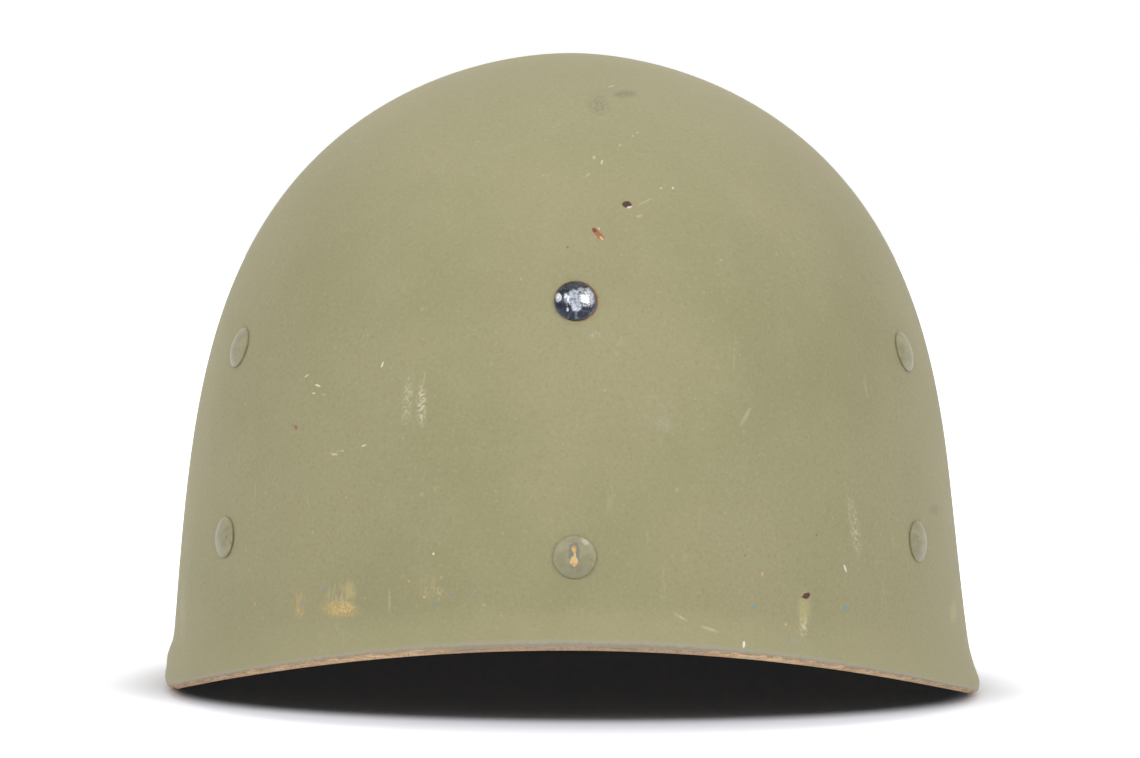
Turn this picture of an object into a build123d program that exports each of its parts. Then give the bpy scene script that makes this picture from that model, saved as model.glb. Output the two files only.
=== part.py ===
from build123d import *
import math
import os

# Laminated fibre helmet liner, in millimetres. +Z is up, the brow faces -Y and +X is the wearer's left.
# The origin is on the surface that the rim stands on, under the middle of the shell.
# Angles on the shell are ellipse angles: 0 at the brow, 90 at +X and 180 at the nape.

# Shell
shell_width = 228.4
shell_length = 272.0
shell_height = 178.0
wall = 2.2
rim_lift = 0.3
brow_rise = 23.8
brow_power = 1.6
brow_fade_power = 3.0
side_flare = 2.7
front_flare = 7.0
rear_flare = 5.0
flare_height = 15.0
side_taper_share = 0.11
fullness_power = 4.0
roundness_power = 0.53
ring_points = 32
dome_rings = 16
ring_grading = 1.5
probe_share = 0.001
cut_overrun = 20.0

# Gaps between pieces
hole_gap = 0.15
seat_gap = 0.1
soft_gap = 0.3
pin_gap = 0.05

# Rivets and studs
rivet_head = 11.1
rivet_rise = 1.9
rivet_edge = 0.4
rivet_shank = 3.8
clinch_width = 6.4
clinch_rise = 0.8
front_stud_head = 11.3
front_stud_rise = 3.4
front_stud_shank = 5.0
front_stud_height = 112.5
front_washer_width = 15.0
front_washer_thickness = 0.8
suspension_height = 46.0
side_rivet_angle = 60.0
chin_height = 97.0
chin_angle = 65.0
chin_washer_width = 15.0
chin_washer_thickness = 1.0
chin_washer_corner = 2.0
chin_neck = 4.6
chin_neck_length = 2.8
chin_button = 8.4
chin_button_thickness = 1.6
chin_button_round = 0.6
nape_rivet_height = 17.0
nape_rivet_angle = 50.0
nape_seat = 0.4
nape_washer_length = 19.0
nape_washer_width = 9.0
nape_washer_thickness = 0.8
nape_washer_corner = 1.2

# A-shaped washers
a_washer_thickness = 0.9
a_washer_foot = 31.0
a_washer_top = 13.0
a_washer_below = 15.0
a_washer_above = 13.0
a_washer_leg = 8.5
a_washer_crossbar = 6.0
a_washer_corner = 2.4
a_washer_boss_width = 10.0
a_washer_boss_rise = 0.5

# Webbing
web_thickness = 1.4
web_standoff = 1.8
headband_height = 32.0
headband_flat = 31.5
headband_bend = 9.0
strap_width = 25.0
strap_rise_handle = 22.0
strap_crown_handle = 45.0
strap_stations = 9
crown_drop = 38.0
crown_loop_distance = 24.0
hem_bite = 0.25
lace_width = 3.0
lace_bend = 8.0
knot_width = 7.0
knot_height = 5.6
knot_lobe = 4.6
lace_end_length = 12.0
lace_end_spread = 38.0
lace_tip_length = 5.0
lace_tip_width = 3.4

# Sweatband
sweatband_thickness = 2.0
sweatband_low = 28.0
sweatband_height = 37.0
clip_thickness = 0.8
clip_width = 11.0
clip_outer_leg = 13.0
clip_inner_leg = 18.0
clip_lip = 3.0
clip_lip_angle = 35.0
tongue_height = 19.0
tongue_reach = 34.0
size_buckle_length = 13.0
size_buckle_bar = 2.4
size_buckle_sheet = 0.8
size_buckle_corner = 1.2

# Nape strap and its lever buckles
nape_strap_height = 18.0
nape_standoff = 18.0
nape_tab_height = 16.0
nape_tab_tail = 9.0
nape_bend = 3.5
nape_buckle_angle = 25.0
buckle_base_front = 7.0
buckle_base_back = 6.0
buckle_sheet = 0.9
buckle_ear_length = 6.6
buckle_window = 3.0
lever_pin = 1.6
lever_barrel = 4.2
lever_tooth = 0.55
lever_teeth = 5
lever_tooth_spread = 70.0
lever_length = 13.0
lever_sheet = 1.0
lever_tip = 3.0
lever_tip_angle = 25.0


# Shape of the shell


def reach_share(share):
    """How far the dome reaches from its axis at a share of its height, as a share of its reach at the rim."""
    return (1 - side_taper_share * share) * max(0, 1 - share**fullness_power) ** roundness_power


def dome_point(share, angle):
    """A point of the outer face, at a share of the height and an ellipse angle in degrees."""
    side = math.sin(math.radians(angle))
    forward = math.cos(math.radians(angle))
    flare = front_flare if forward > 0 else rear_flare
    flare_share = max(0, 1 - share * shell_height / flare_height) ** 2
    half_width = (shell_width / 2 - side_flare) * reach_share(share) + side_flare * flare_share
    half_length = (shell_length / 2 - flare) * reach_share(share) + flare * flare_share
    rise = brow_rise * max(0, forward) ** brow_power * (1 - share) ** brow_fade_power
    height = rim_lift + (shell_height - rim_lift) * share + rise
    return Vector(half_width * side, -half_length * forward, height)


def dome_normal(share, angle):
    """The outward direction of the outer face."""
    turn = math.degrees(probe_share)
    along = dome_point(share, angle + turn) - dome_point(share, angle - turn)
    up = dome_point(share + probe_share, angle) - dome_point(share - probe_share, angle)
    return along.cross(up).normalized()


def share_at(height, angle):
    """The share of the shell's height at which the outer face is at a height, at an ellipse angle."""
    low = 0
    high = 1
    while high - low > probe_share * probe_share:
        middle = (low + high) / 2
        if dome_point(middle, angle).Z < height:
            low = middle
        else:
            high = middle
    return low


def wall_plane(height, angle, depth):
    """A plane on the shell's wall, depth inside its outer face: x runs level, y up the wall and z outward."""
    share = share_at(height, angle)
    outward = dome_normal(share, angle)
    level = Vector(0, 0, 1).cross(outward)
    return Plane(origin=dome_point(share, angle) - outward * depth, x_dir=level, z_dir=outward)


def ring(share, depth):
    """One closed line round the shell, depth inside its outer face."""
    angles = [360 * (index + 0.5) / ring_points for index in range(ring_points)]
    points = [dome_point(share, angle) - dome_normal(share, angle) * depth for angle in angles]
    return Wire([Edge.make_spline(points, periodic=True)])


def ring_shares():
    """Shares of the height for the rings: close together over the flare and again towards the crown."""
    climb = [(index / dome_rings) ** ring_grading for index in range(dome_rings)]
    return [math.sin(math.pi / 2 * step) for step in climb]


def dome_skin(depth):
    """One face of the shell, from the rim to the crown."""
    rings = [ring(share, depth) for share in ring_shares()]
    return Shell.make_loft([*rings, Vertex(0, 0, shell_height - depth)])


def make_shell(holes):
    outer = dome_skin(0)
    inner = dome_skin(wall)
    outer_rim = outer.edges().sort_by(Axis.Z)[0]
    inner_rim = inner.edges().sort_by(Axis.Z)[0]
    cut_edge = Face.make_surface_from_curves(outer_rim, inner_rim)
    body = Solid(Shell([*outer.faces(), *inner.faces(), cut_edge]))
    ground = Pos(0, 0, -cut_overrun / 2) * Box(shell_width * 2, shell_length * 2, cut_overrun)
    return body - [ground, *holes]


# Rivets and washers


def dome_head(width, rise):
    """A low domed head that stands on the plane z = 0."""
    radius = width / 2
    crown = rise - rivet_edge
    ball = (radius**2 + crown**2) / (2 * crown)
    cap = Pos(0, 0, rise - ball) * Sphere(ball) & Pos(0, 0, rivet_edge + ball) * Box(2 * ball, 2 * ball, 2 * ball)
    return Pos(0, 0, rivet_edge / 2) * Cylinder(radius, rivet_edge) + cap


def shank(width, length):
    """A round shank that runs inward from the plane z = 0."""
    return Pos(0, 0, -length / 2) * Cylinder(width / 2, length)


def clinch(depth):
    """The rolled inner end of a rivet, on a washer whose inner face is at a depth."""
    height = clinch_rise
    return Pos(0, 0, -depth - height) * fillet(
        Solid.make_cylinder(clinch_width / 2, height).edges().sort_by(Axis.Z)[0], height / 2
    )


def rivet(depth):
    """A domed rivet clinched at a depth inside the shell's outer face."""
    return dome_head(rivet_head, rivet_rise) + shank(rivet_shank, depth) + clinch(depth)


def pierced(piece, width):
    """A piece with a clear hole for a shank at its middle."""
    return piece - Cylinder(width / 2 + hole_gap, cut_overrun)


def make_a_washer():
    """An A-shaped washer, its outer face on the plane z = 0."""
    outline = Polyline(
        (-a_washer_foot / 2, -a_washer_below),
        (-a_washer_foot / 2 + a_washer_leg, -a_washer_below),
        (0, -a_washer_crossbar),
        (a_washer_foot / 2 - a_washer_leg, -a_washer_below),
        (a_washer_foot / 2, -a_washer_below),
        (a_washer_top / 2, a_washer_above),
        (-a_washer_top / 2, a_washer_above),
        close=True,
    )
    face = make_face(outline)
    face = fillet(face.vertices(), a_washer_corner)
    plate = extrude(face, -a_washer_thickness)
    boss = Pos(0, 0, -a_washer_thickness - a_washer_boss_rise / 2) * Cone(
        a_washer_boss_width / 2 - a_washer_boss_rise, a_washer_boss_width / 2, a_washer_boss_rise
    )
    return pierced(plate + boss, rivet_shank)


def plate_washer(length, width, thickness, corner):
    """A flat washer with round corners, its outer face on the plane z = 0."""
    return extrude(RectangleRounded(length, width, corner), -thickness)


# Places of the fasteners

suspension_angles = [
    0,
    side_rivet_angle,
    180 - side_rivet_angle,
    180,
    180 + side_rivet_angle,
    360 - side_rivet_angle,
]
suspension_names = ["front", "front_left", "rear_left", "rear", "rear_right", "front_right"]
suspension_planes = [wall_plane(suspension_height, angle, 0) for angle in suspension_angles]
chin_planes = [wall_plane(chin_height, angle, 0) for angle in (chin_angle, -chin_angle)]
nape_angles = [180 - nape_rivet_angle, 180, 180 + nape_rivet_angle]
nape_names = ["left", "centre", "right"]
nape_planes = [wall_plane(nape_rivet_height, angle, -nape_seat) for angle in nape_angles]
front_plane = wall_plane(front_stud_height, 0, 0)

headband_depth = wall + web_standoff
strap_depth = headband_depth + web_thickness + seat_gap
a_washer_depth = strap_depth + web_thickness + seat_gap
clinch_depth = a_washer_depth + a_washer_thickness + a_washer_boss_rise
nape_tab_depth = nape_seat + wall + web_standoff
nape_washer_depth = nape_tab_depth + web_thickness + seat_gap
nape_clinch_depth = nape_washer_depth + nape_washer_thickness
web_hole = rivet_shank + 2 * hole_gap


def make_holes():
    """Cutters for every rivet hole in the shell."""
    small = Cylinder(rivet_shank / 2 + hole_gap, cut_overrun)
    large = Cylinder(front_stud_shank / 2 + hole_gap, cut_overrun)
    planes = [*suspension_planes, *chin_planes, *nape_planes]
    return [plane * small for plane in planes] + [front_plane * large]


def make_front_stud():
    washer_depth = wall + seat_gap + front_washer_width**2 / shell_width / 4
    depth = washer_depth + front_washer_thickness
    stud = dome_head(front_stud_head, front_stud_rise) + shank(front_stud_shank, depth)
    stud += Pos(0, 0, -depth - clinch_rise / 2) * Cylinder(front_stud_shank * 2 / 3, clinch_rise)
    washer = Pos(0, 0, -washer_depth - front_washer_thickness / 2) * Cylinder(
        front_washer_width / 2, front_washer_thickness
    )
    return front_plane * stud, front_plane * pierced(washer, front_stud_shank)


def make_chin_stud():
    """A side rivet whose inner end is the button that a chin strap hooks on, with its square washer."""
    washer_depth = wall + seat_gap + chin_washer_width**2 / shell_width / 4
    depth = washer_depth + chin_washer_thickness
    button_depth = depth + chin_neck_length
    button = Pos(0, 0, -button_depth - chin_button_thickness / 2) * Cylinder(
        chin_button / 2, chin_button_thickness
    )
    button = fillet(button.edges().filter_by(GeomType.CIRCLE), chin_button_round)
    stud = dome_head(rivet_head, rivet_rise) + shank(rivet_shank, depth)
    stud += Pos(0, 0, -depth - chin_neck_length / 2) * Cylinder(chin_neck / 2, chin_neck_length)
    stud += button
    washer = plate_washer(chin_washer_width, chin_washer_width, chin_washer_thickness, chin_washer_corner)
    return stud, pierced(Pos(0, 0, -washer_depth) * washer, rivet_shank)


# Webbing


def at_height(plane, height, along, depth):
    """A point on a wall plane's sheet, along it and depth inside it, at a height above the ground."""
    climb = (height - plane.origin.Z) / plane.y_dir.Z
    sheet = plane.origin + plane.x_dir * along - plane.z_dir * depth
    sink = -plane.z_dir.Z * depth / plane.y_dir.Z
    return sheet + plane.y_dir * (climb - sink)


def headband_points(height, depth):
    """Corners of the headband's line: flat behind each washer, straight from one washer to the next."""
    halves = (-headband_flat / 2, headband_flat / 2)
    return [at_height(plane, height, half, depth) for plane in suspension_planes for half in halves]


def headband_outline(height, depth):
    return Wire(FilletPolyline(*headband_points(height, depth), radius=headband_bend, close=True).edges())


def make_headband():
    low = suspension_height - headband_height / 2
    high = suspension_height + headband_height / 2
    outer = Solid.make_loft([headband_outline(height, headband_depth) for height in (low, high)], ruled=True)
    depth = headband_depth + web_thickness
    inner = Solid.make_loft([headband_outline(height, depth) for height in (low, high)], ruled=True)
    holes = [plane * Cylinder(web_hole / 2, cut_overrun) for plane in suspension_planes]
    return outer - [inner, *holes]


def span_plane(index, height, depth):
    """A plane at the middle of a headband span: x along the span, y up the webbing, z outward."""
    points = headband_points(height, depth)
    above = headband_points(height + headband_height / 2, depth)
    start = points[2 * index + 1]
    end = points[(2 * index + 2) % len(points)]
    middle = (start + end) * 0.5
    middle_above = (above[2 * index + 1] + above[(2 * index + 2) % len(above)]) * 0.5
    along = (end - start).normalized()
    up = (middle_above - middle).normalized()
    return Plane(origin=middle, x_dir=along, z_dir=along.cross(up))


def crown_plane(angle, lift):
    """A plane at a crown loop: x level across the strap, y towards the crown's middle, z up."""
    outward = Vector(math.sin(math.radians(angle)), -math.cos(math.radians(angle)), 0)
    origin = outward * crown_loop_distance + Vector(0, 0, shell_height - crown_drop + lift)
    return Plane(origin=origin, x_dir=Vector(0, 0, 1).cross(outward), z_dir=Vector(0, 0, 1))


def strap_section(origin, across, through):
    """A strap's cross-section, at a point, with its width along one direction and its thickness along another."""
    plane = Plane(origin=origin, x_dir=across, z_dir=across.cross(through))
    return plane * Rectangle(strap_width, web_thickness)


def make_crown_leg(wall_side, crown_side):
    """One leg of a crown strap, from under its washer up to its loop at the crown."""
    middle_depth = strap_depth + web_thickness / 2
    foot = wall_side.origin - wall_side.z_dir * middle_depth
    bottom = foot - wall_side.y_dir * a_washer_below
    start = foot + wall_side.y_dir * a_washer_above
    handle = start + wall_side.y_dir * strap_rise_handle
    end = crown_side.origin
    crown_handle = end - crown_side.y_dir * strap_crown_handle
    path = Bezier(start, handle, crown_handle, end)
    sections = [strap_section(bottom, wall_side.x_dir, wall_side.z_dir)]
    for index in range(strap_stations + 1):
        share = index / strap_stations
        across = wall_side.x_dir * (1 - share) + crown_side.x_dir * share
        along = path % share
        through = along.cross(across).normalized()
        across = through.cross(along)
        sections.append(strap_section(path @ share, across, through * -1))
    lower = loft(sections[:2], ruled=True)
    upper = loft(sections[1:])
    return (lower + upper) - wall_side * Cylinder(web_hole / 2, cut_overrun)


def make_crown_strap(first, second, angle):
    """A crown strap: two legs that meet in a sewn loop round the lace."""
    bore = lace_width / 2 + soft_gap
    layer = bore + web_thickness / 2 - hem_bite
    legs = make_crown_leg(suspension_planes[first], crown_plane(angle, -layer))
    legs += make_crown_leg(suspension_planes[second], crown_plane(angle, layer))
    along = crown_plane(angle, 0) * Rot(0, 90, 0)
    hem = along * Cylinder(bore + web_thickness, strap_width)
    return legs + hem - along * Cylinder(bore, strap_width + cut_overrun)


def make_lace(angles):
    """The lace through the crown loops, tied in a knot between two of them."""
    half = strap_width / 2 + lace_bend * math.tan(math.pi / 6) + soft_gap
    corners = []
    for angle in angles:
        plane = crown_plane(angle, 0)
        corners += [plane.origin - plane.x_dir * half, plane.origin + plane.x_dir * half]
    path = FilletPolyline(*corners, radius=lace_bend, close=True)
    start = Plane(origin=path @ 0, z_dir=path % 0)
    lace = sweep(start * Circle(lace_width / 2), path)
    first = corners[-1]
    second = corners[0]
    knot_centre = (first + second) * 0.5
    across = (second - first).normalized()
    outward = Vector(knot_centre.X, knot_centre.Y, 0).normalized()
    knot_plane = Plane(origin=knot_centre, x_dir=across, z_dir=Vector(0, 0, 1))
    knot = knot_plane * scale(Sphere(knot_width / 2), by=(1, knot_lobe / knot_width * 2, knot_height / knot_width))
    lace += knot
    for side in (-1, 1):
        turn = math.radians(lace_end_spread) * side
        direction = outward * math.cos(turn) + across * math.sin(turn)
        end = Plane(origin=knot_centre, z_dir=direction)
        lace += end * (Pos(0, 0, lace_end_length / 2) * Cylinder(lace_width / 2, lace_end_length))
        tip_centre = lace_end_length + lace_tip_length / 2
        lace += end * (Pos(0, 0, tip_centre) * Cylinder(lace_tip_width / 2, lace_tip_length))
    return lace


# Sweatband


def span_distance(index, height, depth):
    """How far a headband span is from the middle of the shell, and its level outward direction."""
    plane = span_plane(index, height, depth)
    outward = Vector(plane.z_dir.X, plane.z_dir.Y, 0).normalized()
    return plane.origin.dot(outward), outward


def sweatband_axes(height, inset):
    """Half width and half length of the oval that lies against all six headband spans."""
    depth = headband_depth + web_thickness
    space = clip_thickness + soft_gap * 2
    half_width = span_distance(1, height, depth)[0] - space
    front, outward = span_distance(0, height, depth)
    half_length = math.sqrt((front - space) ** 2 - (half_width * outward.X) ** 2) / abs(outward.Y)
    return half_width - inset, half_length - inset


def oval_band(low, high, outer_inset, inner_inset):
    """A band on the sweatband's oval, between two heights and two insets."""
    walls = []
    for inset in (outer_inset, inner_inset):
        ovals = [Pos(0, 0, height) * Ellipse(*sweatband_axes(height, inset)) for height in (low, high)]
        walls.append(loft(ovals, ruled=True))
    return walls[0] - walls[1]


def sag(half, radius):
    """How far an arc leaves its chord's line, at half the chord from the middle."""
    return radius - math.sqrt(radius**2 - half**2)


tongue_gap = size_buckle_sheet + 2 * seat_gap + sag(size_buckle_length / 2, shell_width / 3)
tongue_thickness = sweatband_thickness / 2
tongue_low = sweatband_low + (sweatband_height - tongue_height) / 2


def make_sweatband():
    """The leather band and, at the back, its free end lying over it in the size buckle."""
    band = oval_band(sweatband_low, sweatband_low + sweatband_height, 0, sweatband_thickness)
    tongue = oval_band(tongue_low, tongue_low + tongue_height, -tongue_gap - tongue_thickness, -tongue_gap)
    tongue &= Pos(0, shell_length / 2, shell_height / 2) * Box(2 * tongue_reach, shell_length, shell_height)
    return Compound([*band.solids(), *tongue.solids()])


def make_size_buckle():
    """A sheet loop round the band's free end, with a bar across its open outer side."""
    middle = tongue_low + tongue_height / 2
    width = tongue_height + 2 * soft_gap + 2 * size_buckle_sheet
    inside = tongue_thickness + sag(size_buckle_length / 2, shell_width / 3) + 2 * soft_gap
    outside = inside + 2 * size_buckle_sheet
    ring_face = RectangleRounded(width, outside, size_buckle_corner) - Rectangle(
        width - 2 * size_buckle_sheet, inside
    )
    loop = extrude(ring_face, size_buckle_length / 2, both=True)
    gap = (size_buckle_length - 3 * size_buckle_bar) / 2
    for side in (-1, 1):
        loop -= Pos(0, outside / 2, side * (gap + size_buckle_bar) / 2) * Box(
            width - 4 * size_buckle_sheet, 2 * size_buckle_sheet, gap
        )
    half_length = sweatband_axes(middle, 0)[1]
    climb = sweatband_axes(middle + tongue_height, 0)[1] - half_length
    up = Vector(0, climb, tongue_height).normalized()
    outward = Vector(-1, 0, 0).cross(up)
    outward = outward if outward.Y > 0 else outward * -1
    origin = Vector(0, half_length, middle) + outward * (seat_gap + outside / 2)
    return Plane(origin=origin, x_dir=up, z_dir=up.cross(outward)) * loop


def make_clip(index):
    """A spring clip hooked over the headband's upper edge, its long inner leg on the sweatband."""
    top = suspension_height + headband_height / 2
    plane = span_plane(index, top, headband_depth + web_thickness / 2)
    half_gap = web_thickness / 2 + soft_gap
    centre = half_gap + clip_thickness / 2
    lip_turn = math.radians(clip_lip_angle)
    outer_low = -clip_outer_leg
    lip = (centre + clip_lip * math.sin(lip_turn), outer_low - clip_lip * math.cos(lip_turn))
    rise = soft_gap + centre
    path = [
        Line(lip, (centre, outer_low)),
        Line((centre, outer_low), (centre, soft_gap)),
        ThreePointArc((centre, soft_gap), (0, rise), (-centre, soft_gap)),
        Line((-centre, soft_gap), (-centre, -clip_inner_leg)),
    ]
    profile = trace(path, clip_thickness)
    side = Plane(origin=plane.origin, x_dir=plane.z_dir, z_dir=plane.x_dir * -1)
    return side * extrude(profile, clip_width / 2, both=True)


# Nape strap


def upright(path, thickness, low, height):
    """A strip of webbing that follows a level path and stands upright."""
    return Pos(0, 0, low) * extrude(trace(path, thickness), height)


def nape_arc():
    """Centre and radius of the arc that the nape strap lies on, through both side seats and the nape."""
    seat = at_height(nape_planes[0], nape_rivet_height, 0, nape_tab_depth)
    back = at_height(nape_planes[1], nape_rivet_height, 0, wall + nape_standoff)
    drop = back.Y - seat.Y
    radius = (seat.X**2 + drop**2) / (2 * drop)
    return back.Y - radius, radius


def nape_point(angle, radius):
    """A level point on the nape arc, at an angle from straight back towards +X."""
    centre = nape_arc()[0]
    turn = math.radians(angle)
    return Vector(radius * math.sin(turn), centre + radius * math.cos(turn), 0)


def strip_outline(corners, inner_corners, radius):
    """A level outline between a line of corners and the same line moved inward by a thickness."""
    outer = FilletPolyline(*corners, radius=radius)
    inner = FilletPolyline(*inner_corners, radius=radius)
    ends = [Line(corners[0], inner_corners[0]), Line(corners[-1], inner_corners[-1])]
    return Wire([*outer.edges(), *inner.edges(), ends[0].edge(), ends[1].edge()])


ear_inside = nape_tab_height / 2 + soft_gap
ear_outside = ear_inside + buckle_sheet
base_radius = nape_arc()[1] - web_thickness / 2 - seat_gap - sag(ear_outside, nape_arc()[1]) - buckle_sheet / 2
web_bottom = buckle_sheet / 2 + seat_gap
web_top = web_bottom + web_thickness


def make_nape_strap():
    centre, radius = nape_arc()
    half = nape_buckle_angle + math.degrees(buckle_base_back / radius)
    path = CenterArc((0, centre), radius, 90 - half, 2 * half)
    low = nape_rivet_height - nape_strap_height / 2
    return upright(path, web_thickness, low, nape_strap_height)


def side_buckle_plane(side):
    """Middle of a side buckle's base: x towards its washer, y up or down, z towards the head."""
    point = nape_point(nape_buckle_angle, base_radius)
    turn = math.radians(nape_buckle_angle)
    origin = Vector(point.X * side, point.Y, nape_rivet_height)
    towards_washer = Vector(math.cos(turn) * side, -math.sin(turn), 0)
    towards_head = Vector(-math.sin(turn) * side, -math.cos(turn), 0)
    return Plane(origin=origin, x_dir=towards_washer, z_dir=towards_head)


def make_side_tab(side):
    """A tab from its washer on the shell, through its buckle, to a short tail."""
    wall_side = nape_planes[0 if side > 0 else 2]
    buckle = side_buckle_plane(side)
    sections = []
    for height in (-nape_tab_height / 2, nape_tab_height / 2):
        lines = []
        for inside in (0, web_thickness):
            reach = (nape_washer_length + nape_bend) / 2 * side
            halves = (-reach, reach)
            line = [at_height(wall_side, nape_rivet_height + height, half, nape_tab_depth + inside) for half in halves]
            for along in (buckle_base_front, -buckle_base_back - nape_tab_tail):
                point = buckle.origin + buckle.x_dir * along + buckle.z_dir * (web_bottom + inside)
                line.append(point + Vector(0, 0, height))
            lines.append(line)
        sections.append(strip_outline(lines[0], lines[1], nape_bend))
    tab = Solid.make_loft(sections, ruled=True)
    return tab - wall_side * Cylinder(web_hole / 2, cut_overrun)


def centre_buckle_plane():
    """Middle of the centre buckle's base: x down the tab, y level and z towards the head."""
    origin = nape_point(0, base_radius) + Vector(0, 0, nape_rivet_height)
    return Plane(origin=origin, x_dir=(0, 0, -1), z_dir=(0, -1, 0))


def make_centre_tab():
    """The back tab: down from its washer, under the nape strap and up through its buckle."""
    plane = nape_planes[1]
    middle = nape_tab_depth + web_thickness / 2
    top = nape_rivet_height + nape_washer_width / 2
    low = nape_rivet_height - nape_strap_height / 2 - soft_gap - web_thickness / 2
    high = nape_rivet_height + buckle_base_back + web_thickness
    head_y = centre_buckle_plane().origin.Y - web_bottom - web_thickness / 2
    wall_y = [at_height(plane, height, 0, middle).Y for height in (top, low)]
    path = FilletPolyline((wall_y[0], top), (wall_y[1], low), (head_y, low), (head_y, high), radius=web_thickness)
    profile = Plane.YZ * trace(path, web_thickness)
    tab = extrude(profile, nape_tab_height / 2, both=True)
    return tab - plane * Cylinder(web_hole / 2, cut_overrun)


cam_radius = lever_barrel / 2 + lever_tooth
pivot_height = web_top + soft_gap + cam_radius
lever_half = ear_inside - soft_gap


def make_buckle_frame():
    """A base plate with a window and two ears that hold the lever's pin. The web lies on the base."""
    length = buckle_base_front + buckle_base_back
    shift = (buckle_base_front - buckle_base_back) / 2
    base = Pos(shift, 0) * RectangleRounded(length, 2 * ear_outside, buckle_sheet)
    window_x = buckle_base_front - buckle_window
    base -= Pos(window_x, 0) * Rectangle(buckle_window, 2 * ear_inside - 2 * buckle_window)
    frame = extrude(base, buckle_sheet / 2, both=True)
    top = pivot_height
    ear = Pos(0, top / 2) * Rectangle(buckle_ear_length, top) + Pos(0, top) * Circle(buckle_ear_length / 2)
    ear -= Pos(0, top) * Circle(lever_pin / 2 + pin_gap)
    ear = Rot(90, 0, 0) * extrude(ear, buckle_sheet / 2, both=True)
    for side in (-1, 1):
        frame += Pos(0, side * (ear_outside - buckle_sheet / 2), 0) * ear
    return frame


def make_lever():
    """The toothed lever: its barrel turns on its pin between the ears, and its plate lies over the web."""
    radius = lever_barrel / 2
    width = 2 * lever_half
    profile = Circle(radius)
    profile += Pos(lever_length / 2, 0) * Rectangle(lever_length, lever_sheet)
    tip = Pos(lever_length, 0) * Rot(0, 0, lever_tip_angle)
    profile += tip * Pos(lever_tip / 2, 0) * Rectangle(lever_tip, lever_sheet)
    profile += tip * Pos(lever_tip, 0) * Circle(lever_sheet / 2)
    for index in range(lever_teeth):
        turn = -90 - lever_tooth_spread / 2 + lever_tooth_spread * index / (lever_teeth - 1)
        root = radius - lever_tooth
        tooth = Polyline((root, -lever_tooth), (cam_radius, 0), (root, lever_tooth), close=True)
        profile += Rot(0, 0, turn) * make_face(tooth)
    lever = Rot(90, 0, 0) * extrude(profile, width / 2, both=True)
    pin_length = 2 * (ear_inside + buckle_sheet - seat_gap)
    lever += Rot(90, 0, 0) * Cylinder(lever_pin / 2, pin_length)
    return Pos(0, 0, pivot_height) * lever


# Assembly

parts = {}
parts["shell"] = make_shell(make_holes())
parts["front_stud"], parts["front_stud_washer"] = make_front_stud()
seated_rivet = rivet(clinch_depth + seat_gap)
parts["suspension_rivets"] = Compound([plane * Pos(0, 0, seat_gap) * seated_rivet for plane in suspension_planes])
for name, plane in zip(suspension_names, suspension_planes):
    parts["a_washer_" + name] = plane * Pos(0, 0, -a_washer_depth) * make_a_washer()
for name, plane in zip(("left", "right"), chin_planes):
    stud, washer = make_chin_stud()
    parts["chin_strap_stud_" + name] = plane * stud
    parts["chin_strap_washer_" + name] = plane * washer
parts["headband_webbing"] = make_headband()
strap_angles = [(first + second) / 2 for first, second in zip(suspension_angles[::2], suspension_angles[1::2])]
for index, name in enumerate(["front_left", "rear", "right"]):
    parts["crown_strap_" + name] = make_crown_strap(2 * index, 2 * index + 1, strap_angles[index])
parts["crown_lace"] = make_lace(strap_angles)
parts["sweatband"] = make_sweatband()
parts["sweatband_buckle"] = make_size_buckle()
parts["sweatband_clips"] = Compound([make_clip(index) for index in range(len(suspension_planes))])
parts["nape_rivets"] = Compound([plane * rivet(nape_clinch_depth) for plane in nape_planes])
nape_washer = pierced(
    plate_washer(nape_washer_length, nape_washer_width, nape_washer_thickness, nape_washer_corner),
    rivet_shank,
)
for name, plane in zip(nape_names, nape_planes):
    parts["nape_washer_" + name] = plane * Pos(0, 0, -nape_washer_depth) * nape_washer
parts["nape_strap"] = make_nape_strap()
parts["nape_tab_left"] = make_side_tab(1)
parts["nape_tab_right"] = make_side_tab(-1)
parts["nape_tab_centre"] = make_centre_tab()
buckle_planes = {
    "left": side_buckle_plane(1),
    "centre": centre_buckle_plane(),
    "right": side_buckle_plane(-1),
}
for name, plane in buckle_planes.items():
    parts["nape_buckle_frame_" + name] = plane * make_buckle_frame()
    parts["nape_buckle_lever_" + name] = plane * make_lever()
    pivot = plane.origin + plane.z_dir * pivot_height
    print("lever", name, "pivot", pivot, "axis", plane.y_dir * -1)

os.makedirs("parts", exist_ok=True)
for name, part in parts.items():
    export_step(part, "parts/" + name + ".step")
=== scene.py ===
import math
from bisect import bisect_right

import bmesh
import bpy
from mathutils import Matrix, Vector


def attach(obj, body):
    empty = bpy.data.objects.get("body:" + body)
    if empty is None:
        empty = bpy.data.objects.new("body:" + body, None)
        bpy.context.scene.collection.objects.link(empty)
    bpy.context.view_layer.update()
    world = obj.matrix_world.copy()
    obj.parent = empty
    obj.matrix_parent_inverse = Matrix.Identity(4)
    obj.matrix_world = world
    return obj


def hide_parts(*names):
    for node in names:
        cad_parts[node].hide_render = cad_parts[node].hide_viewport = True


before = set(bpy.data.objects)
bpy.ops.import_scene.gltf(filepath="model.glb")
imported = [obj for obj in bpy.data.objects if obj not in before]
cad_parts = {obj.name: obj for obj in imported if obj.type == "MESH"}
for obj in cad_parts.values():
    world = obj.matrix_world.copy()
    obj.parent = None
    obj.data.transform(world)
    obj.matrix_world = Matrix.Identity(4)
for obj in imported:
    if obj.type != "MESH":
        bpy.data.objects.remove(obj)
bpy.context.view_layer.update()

# Laminated fibre helmet liner. Every length below is in millimetres, in the same frame as the CAD:
# +Z up, the brow faces -Y. Only grid_piece and the few primitives turn millimetres into metres.

MM = 0.001
UP = Vector((0, 0, 1))

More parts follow.
